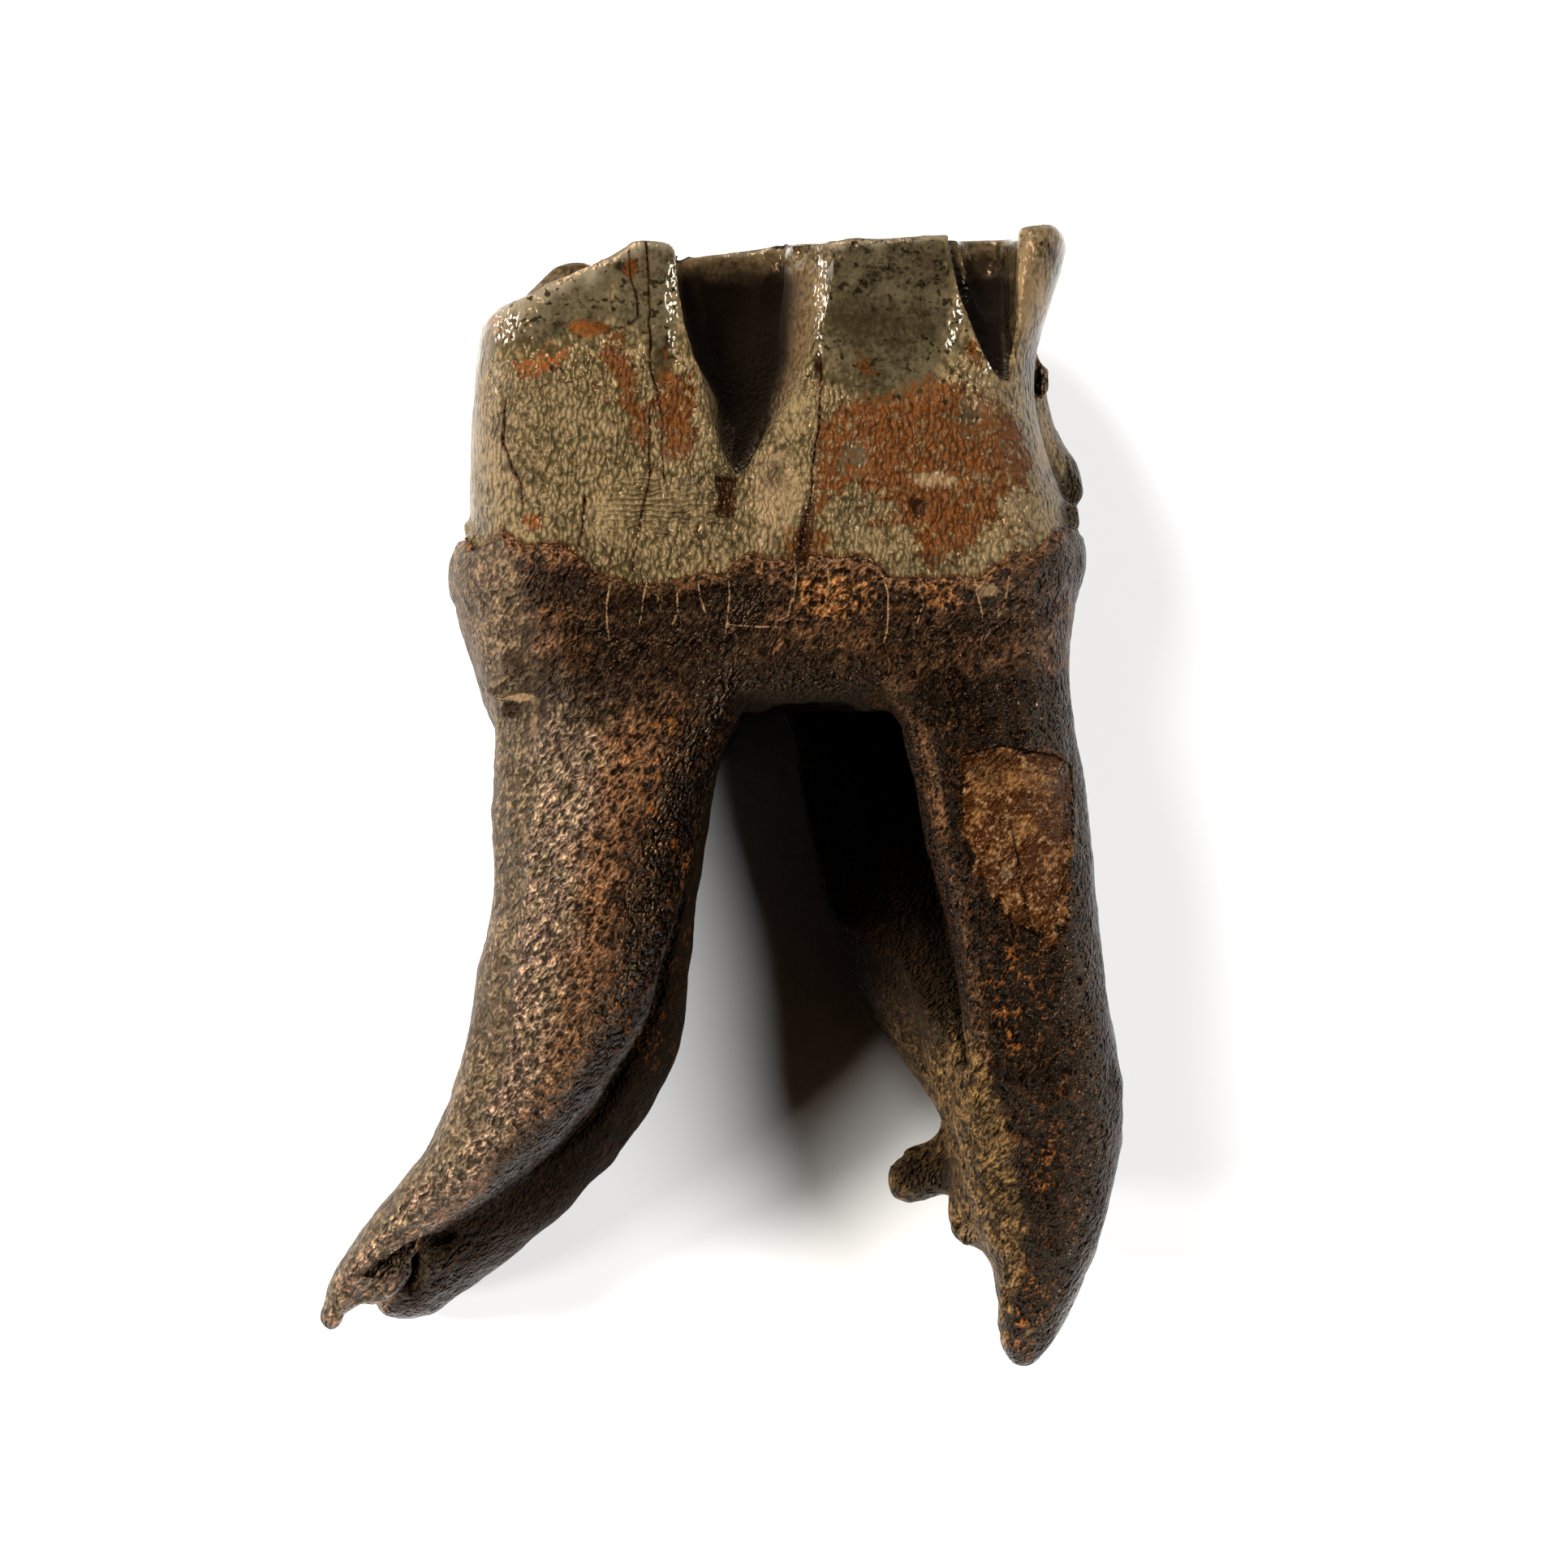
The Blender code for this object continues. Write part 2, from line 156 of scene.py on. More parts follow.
def rise(low, high, values):    # 0 below low, 1 above high, and smooth between
    share = np.clip((values - low) / (high - low), 0.0, 1.0)
    return share * share * (3 - 2 * share)


def blurred(field, spread):
    reach = int(math.ceil(2.5 * spread))
    steps = np.arange(-reach, reach + 1)
    weights = np.exp(-0.5 * (steps / spread) ** 2)
    weights /= weights.sum()
    for axis in range(3):
        sides = [(reach, reach) if i == axis else (0, 0) for i in range(3)]
        padded = np.pad(field, sides, mode="edge")
        total = np.zeros_like(field)
        for k, weight in enumerate(weights):
            window = [slice(None)] * 3
            window[axis] = slice(k, k + field.shape[axis])
            total += np.float32(weight) * padded[tuple(window)]
        field = total
    return field


def fieldOf(solid):
    mesh = solid.data
    mesh.calc_loop_triangles()
    points = np.empty(len(mesh.vertices) * 3, np.float32)
    mesh.vertices.foreach_get("co", points)
    points = points.reshape(-1, 3) / mm
    triangles = np.empty(len(mesh.loop_triangles) * 3, np.int32)
    mesh.loop_triangles.foreach_get("vertices", triangles)
    step = openvdb.createLinearTransform(voxelSize=fine["voxel"])
    grid = openvdb.FloatGrid.createLevelSetFromPolygons(
        points.astype(np.float64), triangles=triangles.reshape(-1, 3).astype(np.uint32),
        transform=step, halfWidth=fine["band"])
    low = np.floor(points.min(0) / fine["voxel"]).astype(int) - 8
    high = np.ceil(points.max(0) / fine["voxel"]).astype(int) + 8
    field = np.empty(tuple(high - low), np.float32)
    grid.copyToArray(field, ijk=tuple(int(v) for v in low))
    axes = [(low[i] + np.arange(field.shape[i])) * fine["voxel"] for i in range(3)]
    return field, axes, low


def softened(field, axes):
    crown = blurred(field, fine["crownBlur"] / fine["voxel"])
    root = blurred(field, fine["rootBlur"] / fine["voxel"])
    share = rise(*fine["blurTop"], axes[1])[None, :, None].astype(np.float32)
    return root + (crown - root) * share


# The two valleys: their lips in photo pixels, their floors as (height up the tooth, depth z) in mm
valleys = {
    "hind": {
        "leftLip": ((836, 270), (838, 314), (843, 365), (851, 408), (861, 441), (886, 487), (904, 525),
                    (909, 556), (908, 584)),
        "rightLip": ((1026, 270), (1024, 298), (1027, 330), (1019, 372), (1005, 420), (985, 470),
                     (955, 520), (928, 556), (910, 584)),
        "rightFoot": ((962, 270), (960, 357), (955, 393), (953, 449), (942, 480), (925, 525),
                      (914, 560), (909, 584)),
        "lipDepth": 29.2,
        "footDepth": 19.0,
        "floor": ((26.2, 29.0), (27.5, 26.0), (30.0, 23.0), (34.0, 19.0), (40.0, 14.5), (48.0, 12.4)),
    },
    "fore": {
        "leftLip": ((1170, 270), (1171, 288), (1176, 326), (1186, 365), (1199, 399), (1215, 436),
                    (1226, 456), (1240, 470)),
        "rightLip": ((1243, 270), (1242, 300), (1238, 346), (1240, 400), (1243, 440), (1243, 470)),
        "rightFoot": ((1238, 270), (1237, 300), (1231, 346), (1234, 400), (1240, 440), (1242, 470)),
        "lipDepth": 28.6,
        "footDepth": 21.0,
        "floor": ((33.6, 28.4), (35.0, 25.0), (38.0, 21.0), (42.0, 17.0), (48.0, 14.4)),
    },
}


def acrossAt(points, heights):  # the line's x at each height up the tooth
    line = onPhoto(points)
    line = line[np.argsort(line[:, 1])]
    return np.interp(heights, line[:, 1], line[:, 0])


def carveValleys(field, axes):
    x, y, z = np.meshgrid(*axes, indexing="ij", sparse=True)
    heights = axes[1]
    for valley in valleys.values():
        left = acrossAt(valley["leftLip"], heights)[None, :, None]
        lip = acrossAt(valley["rightLip"], heights)[None, :, None]
        foot = acrossAt(valley["rightFoot"], heights)[None, :, None]
        share = rise(valley["footDepth"], valley["lipDepth"], z)
        right = foot + (lip - foot) * share
        floorHeights, floorDepths = zip(*valley["floor"])
        bottom = np.interp(heights, floorHeights, floorDepths)[None, :, None]
        end = min(floorHeights)
        inside = np.maximum(np.maximum(left - x, x - right), np.maximum(bottom - z, (end - y) * 0.5))
        field = np.maximum(field, -inside.astype(np.float32))
    return field


# The worn edge of the tongue-side pillars, crisp where the photo shows it, in photo pixels
wornEdge = {
    "line": ((560, 404), (589, 396), (593, 391), (619, 374), (642, 366), (682, 346), (724, 327),
             (758, 308), (777, 294), (795, 292), (815, 295), (829, 298), (836, 309), (1018, 298),
             (1024, 297), (1050, 291), (1088, 292), (1139, 288), (1152, 284), (1163, 285), (1176, 287),
             (1207, 286), (1242, 286), (1253, 280), (1263, 276), (1301, 272), (1316, 287), (1326, 304),
             (1345, 330)),
    "depth": 15.0,              # z, where the trim begins
    "chips": 0.07,
    "chipWidth": 1.1,
    # how wide the pale band under the edge is: (photo column, mm)
    "paleWidths": ((600, 1.6), (700, 2.8), (836, 1.3), (1010, 0.7), (1030, 1.4), (1170, 0.9)),
}


def trimWornEdge(field, axes):
    x, y, z = np.meshgrid(*axes, indexing="ij", sparse=True)
    line = onPhoto(wornEdge["line"])
    xs = np.column_stack([axes[0], np.zeros((len(axes[0]), 2))])
    chips = wornEdge["chips"] * layered(xs, wornEdge["chipWidth"], 3)
    top = np.interp(axes[0], line[:, 0], line[:, 1]) + chips
    above = (y - top[:, None, None]) * 0.95
    deepEnough = (z - wornEdge["depth"]) * 0.8
    return np.maximum(field, np.minimum(above, deepEnough).astype(np.float32))


# The front column's face ends at a bright edge, and falls away to the broken front side beyond it
brokenFront = {
    "edge": ((1290, 270), (1284, 311), (1274, 330), (1272, 357), (1270, 384), (1270, 413), (1273, 441),
             (1275, 470), (1278, 490), (1286, 518), (1294, 546), (1312, 582), (1317, 613), (1325, 638),
             (1345, 690)),
    "edgeDepth": 27.6,
    "slope": 0.62,              # how much of the step is sideways
    "bottom": 22.0,
}


def carveBrokenFront(field, axes):
    x, y, z = np.meshgrid(*axes, indexing="ij", sparse=True)
    edge = acrossAt(brokenFront["edge"], axes[1])[None, :, None]
    lean = math.sqrt(1 - brokenFront["slope"] ** 2)
    beyond = (x - edge) * brokenFront["slope"] + (z - brokenFront["edgeDepth"]) * lean
    fade = (y - brokenFront["bottom"]) * 0.5
    return np.maximum(field, np.minimum(beyond, fade).astype(np.float32))


def distanceTo(path, spots):    # unsigned distance in mm, and which side of the path a spot is on
    best = np.full(len(spots), 1e9)
    side = np.ones(len(spots))
    line = onPhoto(path)
    for start, end in zip(line[:-1], line[1:]):
        run = end - start
        offset = spots - start
        share = np.clip(offset @ run / (run @ run), 0.0, 1.0)
        away = np.linalg.norm(offset - share[:, None] * run, axis=1)
        turn = run[0] * offset[:, 1] - run[1] * offset[:, 0]
        nearer = away < best
        best[nearer] = away[nearer]
        side[nearer] = np.sign(turn[nearer])
    return best, side


# Steps from a root's front lobe down to the part behind it: the edge in photo pixels, the side that lies
# lower (1 is right of the edge, -1 left), its depth z at the edge, and the heights y where it fades out
steps = {
    "hindRoot": {
        "edge": ((960, 790), (940, 830), (905, 890), (880, 950), (850, 1060), (830, 1135), (815, 1192),
                 (797, 1260), (763, 1316), (732, 1369), (686, 1417), (640, 1454), (594, 1494),
                 (545, 1515), (502, 1528), (478, 1546)),
        "side": 1,
        "depth": 11.0,
        "climb": 0.9,           # mm up per mm away from the edge
        "runOut": 0.35,         # mm up per mm over the last stretch
        "heights": (-39.5, 7.0),
    },
    "frontRoot": {
        "edge": ((1085, 860), (1104, 884), (1113, 896), (1117, 921), (1128, 961), (1134, 997),
                 (1142, 1042), (1154, 1081), (1165, 1121), (1176, 1177), (1184, 1233), (1192, 1290)),
        "side": -1,
        "depth": 10.0,
        "climb": 0.6,
        "runOut": 0.9,
        "heights": (-22.0, 7.0),
    },
}

stepReach = 9.0                 # mm, how wide a step is before the surface comes up again
runOutLength = 12.0             # mm, that last stretch

# Lumps and pits: the spot in photo pixels, the centre's z above the surface there, half sizes in mm,
# and the turn in degrees
lumps = {
    "neckClotTop": ((626, 814), 0.0, (0.8, 0.7, 0.7), 0),
    "neckClotMiddle": ((641, 826), 0.0, (0.9, 0.8, 0.8), 0),
    "neckClotLow": ((626, 838), 0.0, (1.0, 0.9, 0.8), 0),
    "neckClotEdge": ((612, 852), -0.3, (0.9, 0.6, 0.8), 0),
    "neckLedge": ((638, 862), -0.1, (1.9, 0.35, 0.6), 0),
    "neckClotUnder": ((628, 877), -0.1, (1.0, 0.7, 0.7), 0),
    "collarSpike": ((574, 652), -0.5, (0.5, 0.9, 1.0), 0),
    "collarPlate": ((584, 668), -0.3, (1.2, 0.7, 0.9), -20),
    "tipKnob": ((407, 1622), -0.4, (1.0, 1.1, 1.0), 0),
    "tipFinger": ((474, 1578), -1.6, (2.6, 1.5, 1.8), 38),
    "shelfLump": ((1192, 1519), -0.3, (1.1, 1.0, 0.9), 0),
    "shelfLumpSmall": ((1180, 1512), -0.2, (0.6, 0.9, 0.7), 0),
    "brokenKnob": ((1329, 604), -0.6, (0.9, 1.3, 1.2), 0),
    "brokenKnobLow": ((1322, 640), -0.8, (0.9, 1.7, 1.2), 0),
}
pits = {
    "tipCave": ((506, 1566), 0.3, (0.95, 2.1, 2.4), -8),
    "tipCaveTop": ((532, 1533), 0.3, (2.1, 0.6, 1.3), 20),
    "valleyDot": ((980, 314), 0.2, (0.35, 0.35, 0.8), 0),
    "brokenRecess": ((1283, 436), 0.4, (0.55, 3.4, 1.6), -4),
}
lumpBlend = 0.35                # mm, how softly they join the tooth


def carveSteps(field, axes):
    across, up = np.meshgrid(axes[0], axes[1], indexing="ij")
    spots = np.column_stack([across.ravel(), up.ravel()])
    for step in steps.values():
        away, side = distanceTo(step["edge"], spots)
        beyond = (away * side * step["side"]).reshape(across.shape)
        beyond = np.minimum(beyond, stepReach - beyond)
        bottom, top = step["heights"]
        beyond = np.minimum(beyond, np.minimum((up - bottom) * 0.22, top - up))[:, :, None]
        floor = step["depth"] + step["climb"] * np.maximum(beyond, 0)
        floor = floor + step["runOut"] * np.maximum(bottom + runOutLength - up, 0)[:, :, None]
        higher = (axes[2][None, None, :] - floor) * 0.65
        field = np.maximum(field, np.minimum(beyond, higher).astype(np.float32))
    return field


def topOf(field, axes, spot):   # z of the surface straight above a spot
    column = field[np.abs(axes[0] - spot[0]).argmin(), np.abs(axes[1] - spot[1]).argmin()]
    filled = np.flatnonzero(column < 0)
    return axes[2][filled.max()] if len(filled) else 12.0


def ballField(axes, centre, half, turn):
    offsets = [axis - middle for axis, middle in zip(axes, centre)]
    x, y, z = np.meshgrid(*offsets, indexing="ij", sparse=True)
    cos, sin = math.cos(math.radians(turn)), math.sin(math.radians(turn))
    along, over = x * cos + y * sin, y * cos - x * sin
    reach = np.sqrt((along / half[0]) ** 2 + (over / half[1]) ** 2 + (z / half[2]) ** 2)
    return ((reach - 1) * min(half)).astype(np.float32)


def addLumps(field, axes):
    found = field.copy()
    signed = [(lump, 1) for lump in lumps.values()] + [(pit, -1) for pit in pits.values()]
    for (spot, above, half, turn), sign in signed:
        x, y = onPhoto([spot])[0]
        centre = (x, y, topOf(field, axes, (x, y)) + above)
        reach = max(half) + 1.0
        cut = tuple(slice(*np.searchsorted(axis, (c - reach, c + reach))) for axis, c in zip(axes, centre))
        ball = ballField([axis[part] for axis, part in zip(axes, cut)], centre, half, turn)
        old = found[cut] * sign
        share = np.clip(0.5 + 0.5 * (old - ball) / lumpBlend, 0, 1)     # a smooth minimum
        found[cut] = (old + (ball - old) * share - lumpBlend * share * (1 - share)) * sign
    return found


def surfaceOf(field, low):
    grid = openvdb.FloatGrid()
    grid.background = float(fine["band"] * fine["voxel"])
    grid.copyFromArray(field, ijk=tuple(int(v) for v in low))
    grid.transform = openvdb.createLinearTransform(voxelSize=fine["voxel"])
    points, quads = grid.convertToQuads(isovalue=0.0)
    return points.astype(np.float64), quads.astype(np.int64)


def largestPart(points, quads):  # drops any crumb that a cut has left loose
    label = np.arange(len(points))
    while True:
        lowest = label[quads].min(axis=1)
        fresh = label.copy()
        for corner in range(4):
            np.minimum.at(fresh, quads[:, corner], lowest)
        fresh = fresh[fresh]
        if (fresh == label).all():
            break
        label = fresh
    names, counts = np.unique(label, return_counts=True)
    keep = label == names[np.argmax(counts)]
    number = np.cumsum(keep) - 1
    return points[keep], number[quads[keep[quads[:, 0]]]]


def makeMesh(name, points, quads, normals):
    mesh = bpy.data.meshes.new(name)
    mesh.vertices.add(len(points))
    mesh.vertices.foreach_set("co", (points * mm).astype(np.float32).ravel())
    mesh.loops.add(quads.size)
    mesh.loops.foreach_set("vertex_index", quads.astype(np.int32).ravel())
    mesh.polygons.add(len(quads))
    mesh.polygons.foreach_set("loop_start", np.arange(0, quads.size, 4, dtype=np.int32))
    mesh.update(calc_edges=True)
    mesh.shade_smooth()
    mesh.normals_split_custom_set_from_vertices(normals)    # so that no seam shows between pieces
    return mesh


def normalsOf(points, quads):
    a, b, c, d = (points[quads[:, i]] for i in range(4))
    faceNormals = np.cross(c - a, d - b)
    normals = np.zeros_like(points)
    for i in range(4):
        np.add.at(normals, quads[:, i], faceNormals)
    return normals / np.maximum(np.linalg.norm(normals, axis=1, keepdims=True), 1e-12)


def swirl(points, size, seed=0):  # smooth noise from -1 to 1, with lumps about this many mm wide
    spots = points / size
    base = np.floor(spots).astype(np.int64)
    part = spots - base
    part = part * part * (3 - 2 * part)
    total = np.zeros(len(points))
    for corner in itertools.product((0, 1), repeat=3):
        cell = base + corner
        mixed = (cell[:, 0] * 73856093) ^ (cell[:, 1] * 19349663) ^ (cell[:, 2] * 83492791)
        mixed = mixed ^ (seed * 2654435)
        mixed = (mixed ^ (mixed >> 13)) * 1274126177 & 0x7FFFFFFF
        mixed = (mixed ^ (mixed >> 15)) * 668265263 & 0x7FFFFFFF
        value = (mixed >> 8 & 0xFFFF) / 65535
        weight = np.ones(len(points))
        for axis in range(3):
            weight *= part[:, axis] if corner[axis] else 1 - part[:, axis]
        total += value * weight
    return total * 2 - 1


def layered(points, size, seed=0, layers=3, keep=0.5):
    total = np.zeros(len(points))
    for i in range(layers):
        total += keep ** i * swirl(points, size / 2 ** i, seed + i)
    return total


def insideOf(outline, spots):   # mm inside a closed outline, negative outside it
    closed = list(outline) + [outline[0]]
    away, _ = distanceTo(closed, spots)
    line = onPhoto(closed)
    within = np.zeros(len(spots), bool)
    for (x0, y0), (x1, y1) in zip(line[:-1], line[1:]):
        if y0 == y1:
            continue
        crosses = (y0 > spots[:, 1]) != (y1 > spots[:, 1])
        within ^= crosses & (spots[:, 0] < (x1 - x0) * (spots[:, 1] - y0) / (y1 - y0) + x0)
    return np.where(within, away, -away)


# Where the cement's ragged upper edge runs over the enamel, left to right
cement = {
    "edge": ((540, 664), (559, 667), (573, 672), (591, 677), (601, 667), (616, 658), (629, 670),
             (655, 672), (693, 675), (706, 681), (719, 695), (729, 707), (752, 717), (785, 726),
             (810, 723), (833, 723), (859, 716), (884, 710), (902, 704), (907, 693), (923, 686),
             (938, 693), (960, 688), (980, 692), (1020, 690), (1057, 687), (1072, 692), (1082, 704),
             (1093, 712), (1118, 718), (1154, 717), (1184, 715), (1205, 715), (1220, 707), (1235, 699),
             (1241, 692), (1261, 687), (1276, 684), (1289, 671), (1304, 659), (1317, 650), (1345, 668)),
    "cheekHeight": 19.0,        # mm, the edge's height on the side that the photo doesn't show
    "turn": (6.0, 16.0),        # z, where the photo's edge fades into the guessed one
    "raggedness": 0.35,
    "thickness": 0.42,
}

# Cracks: path in photo pixels, width and depth in mm
cracks = {
    "hindPillarShort": (((775, 307), (777, 326), (781, 352), (786, 367), (787, 393)), 0.07, 0.06),
    "hindPillarLong": (((798, 298), (800, 352), (801, 403), (804, 454), (812, 492), (818, 525),
                        (816, 556), (819, 592)), 0.09, 0.10),
    "hindPillarBranch": (((802, 505), (800, 556), (802, 589), (798, 606), (793, 626), (789, 654),
                          (782, 688), (781, 703)), 0.09, 0.08),
    "hindEdge": (((621, 495), (620, 518), (617, 538), (621, 556), (630, 579), (640, 597), (643, 620)),
                 0.12, 0.12),
    "hindFoot": (((722, 615), (720, 644), (717, 662), (713, 675)), 0.09, 0.06),
    "hindFootSmall": (((759, 647), (757, 672), (752, 703)), 0.06, 0.05),
    "frontPillar": (((1010, 451), (1009, 492), (1007, 531), (1002, 556), (997, 582), (999, 600),
                     (990, 650), (984, 690)), 0.12, 0.14),
    "neckLeft": (((968, 764), (958, 782), (950, 816)), 0.10, 0.10),
    "neckRight": (((1087, 796), (1094, 819), (1091, 835), (1082, 847), (1072, 865)), 0.12, 0.12),
    "frontRoot": (((1243, 1014), (1252, 1053), (1257, 1093), (1266, 1132), (1280, 1165), (1280, 1199)),
                  0.10, 0.08),
}

# Hair cracks filled with tan, over the dark collar, and their width in mm
hairCracks = {
    "width": 0.075,
    "paths": (
        ((981, 700), (978, 736), (970, 761), (958, 782), (950, 816)),
        ((1200, 717), (1202, 735), (1209, 758)),
        ((1072, 692), (1087, 710), (1093, 735), (1094, 755), (1091, 781), (1087, 794), (1094, 819),
         (1091, 835), (1082, 847)),
        ((756, 715), (750, 739), (749, 761), (753, 784)), ((798, 723), (793, 745), (791, 764)),
        ((836, 731), (837, 754), (832, 768)), ((861, 726), (864, 740), (870, 756)),
        ((812, 738), (816, 750)),
        ((897, 713), (899, 735), (897, 751), (895, 784)), ((897, 772), (920, 774), (949, 773)),
        ((1018, 700), (1022, 722), (1016, 744)), ((1130, 724), (1136, 745), (1128, 770)),
        ((1240, 712), (1236, 740), (1228, 762)),
    ),
}

# Stains and patches, as outlines in photo pixels
patches = {
    "rust": (                    # orange cement left on the enamel
        ((634, 440), (644, 462), (662, 471), (675, 464), (698, 444), (699, 431), (682, 431),
         (660, 442), (644, 446)),
        ((742, 439), (749, 464), (761, 474), (764, 500), (774, 523), (784, 548), (797, 557),
         (803, 552), (800, 510), (790, 480), (772, 444), (769, 416), (752, 414)),
        ((812, 458), (806, 500), (822, 560), (846, 569), (861, 540), (856, 500), (842, 462)),
        ((1000, 650), (1002, 600), (1006, 560), (1012, 520), (1040, 500), (1070, 492), (1100, 478),
         (1140, 466), (1176, 470), (1204, 486), (1232, 504), (1256, 530), (1276, 570), (1268, 604),
         (1244, 614), (1226, 640), (1205, 668), (1180, 690), (1150, 700), (1133, 694), (1123, 659),
         (1108, 622), (1076, 606), (1050, 600), (1030, 616)),
    ),
    "darkBlots": (               # dark red and brown blots
        ((882, 588), (913, 588), (911, 616), (908, 643), (884, 640), (888, 614)),
        ((1120, 616), (1142, 618), (1140, 640), (1124, 642)),
        ((985, 626), (1004, 618), (1002, 650), (996, 694), (980, 694)),
    ),
    "peel": (                    # where the front root's dark cement has come away
        ((1184, 930), (1230, 918), (1300, 930), (1322, 946), (1322, 1010), (1316, 1080), (1312, 1140),
         (1290, 1172), (1277, 1154), (1241, 1132), (1229, 1109), (1213, 1087), (1190, 1053),
         (1184, 1020), (1180, 970)),
    ),
    "tan": (                     # pale stains on the neck
        ((985, 715), (1020, 708), (1067, 720), (1069, 750), (1040, 768), (1000, 764), (984, 745)),
        ((1139, 722), (1174, 720), (1176, 748), (1142, 752)),
        ((1202, 722), (1228, 720), (1226, 740), (1204, 740)),
    ),
}

relief = {
    "enamelWaves": (0.05, 1.6),     # height and width in mm
    "cementLumps": (0.15, 2.6),
    "cementGrain": (0.07, 1.1),
    "porousPits": (0.30, 1.3),
    "peelDepth": 0.28,
    "hollowReach": 1.3,
    "chipDepth": 0.35,
    "bandSwell": 0.30,              # the thick band just below the cement's edge
    "bandWidth": 4.6,
    "bandGroove": (0.22, 5.4, 0.7),     # its depth, its place below the edge and its half width
}


def cementDepth(points):        # mm below the cement's edge, negative on the bare enamel
    line = onPhoto(cement["edge"])
    tongue = np.interp(points[:, 0], line[:, 0], line[:, 1])
    cheek = cement["cheekHeight"] + 0.9 * swirl(points * (1, 0, 1), 7.0, 5)
    share = rise(*cement["turn"], points[:, 2])
    edge = cheek + (tongue - cheek) * share
    ragged = cement["raggedness"] * layered(points, 1.6, 9)
    return edge - points[:, 1] + ragged


def crackField(points, facing):
    nearest = np.full(len(points), 1e9)
    across = np.full(len(points), 9.0)
    depth = np.zeros(len(points))
    wander = 0.12 * np.column_stack([swirl(points, 0.9, 21), swirl(points, 0.9, 22)])
    spots = points[:, :2] + wander
    for path, width, deep in cracks.values():
        away, side = distanceTo(path, spots)
        scaled = away / width
        nearer = (scaled < nearest) & facing
        nearest[nearer] = scaled[nearer]
        across[nearer] = (away * side / width)[nearer]
        depth = np.maximum(depth, deep * np.exp(-(away / (width * 1.3)) ** 2) * facing)
    return across, nearest, depth


def hairField(points, facing):  # signed distance over the width, and how near the crack is
    nearest = np.full(len(points), 9.0)
    across = np.full(len(points), 9.0)
    spots = points[:, :2] + 0.1 * np.column_stack([swirl(points, 0.8, 23), swirl(points, 0.8, 24)])
    for path in hairCracks["paths"]:
        away, side = distanceTo(path, spots)
        away = away / hairCracks["width"]
        nearer = (away < nearest) & facing
        nearest[nearer] = away[nearer]
        across[nearer] = (away * side)[nearer]
    return np.clip(across, -9, 9), 1 - rise(4.0, 7.0, nearest)


def stainField(spotsOf, points):
    total = np.zeros(len(points))
    for x, y, halfWide, halfHigh, turn, strength in spotsOf:
        offset = points[:, :2] - onPhoto([(x, y)])[0]
        cos, sin = math.cos(math.radians(turn)), math.sin(math.radians(turn))
        along = (offset[:, 0] * cos + offset[:, 1] * sin) * photo["pixelsPerMm"] / halfWide
        over = (offset[:, 1] * cos - offset[:, 0] * sin) * photo["pixelsPerMm"] / halfHigh
        total = np.maximum(total, strength * np.exp(-0.8 * (along ** 2 + over ** 2) ** 1.5))
    return total


def patchField(name, points, facing):
    inside = np.full(len(points), -9.0)
    for outline in patches[name]:
        inside = np.maximum(inside, insideOf(outline, points[:, :2]))
    return np.where(facing, inside, -9.0)


# The pale, pitted strip down the hind root's outer side: its inner edge as (height up the tooth, x) in mm
leftStrip = {
    "edge": ((-46.0, -30.0), (-38.0, -26.0), (-30.0, -20.5), (-20.0, -17.4), (-13.0, -16.7),
             (-4.0, -16.0), (2.0, -14.9), (9.4, -15.0), (13.0, -15.4), (18.0, -16.5), (22.0, -18.0)),
    "step": 0.22,               # how far the root's face stands above it
}

# The porous end of the front root: its outer edge as (height up the tooth, x) in mm
porousEdge = ((-47, 22.5), (-36, 24.5), (-26, 22.5), (-10, 18.0))

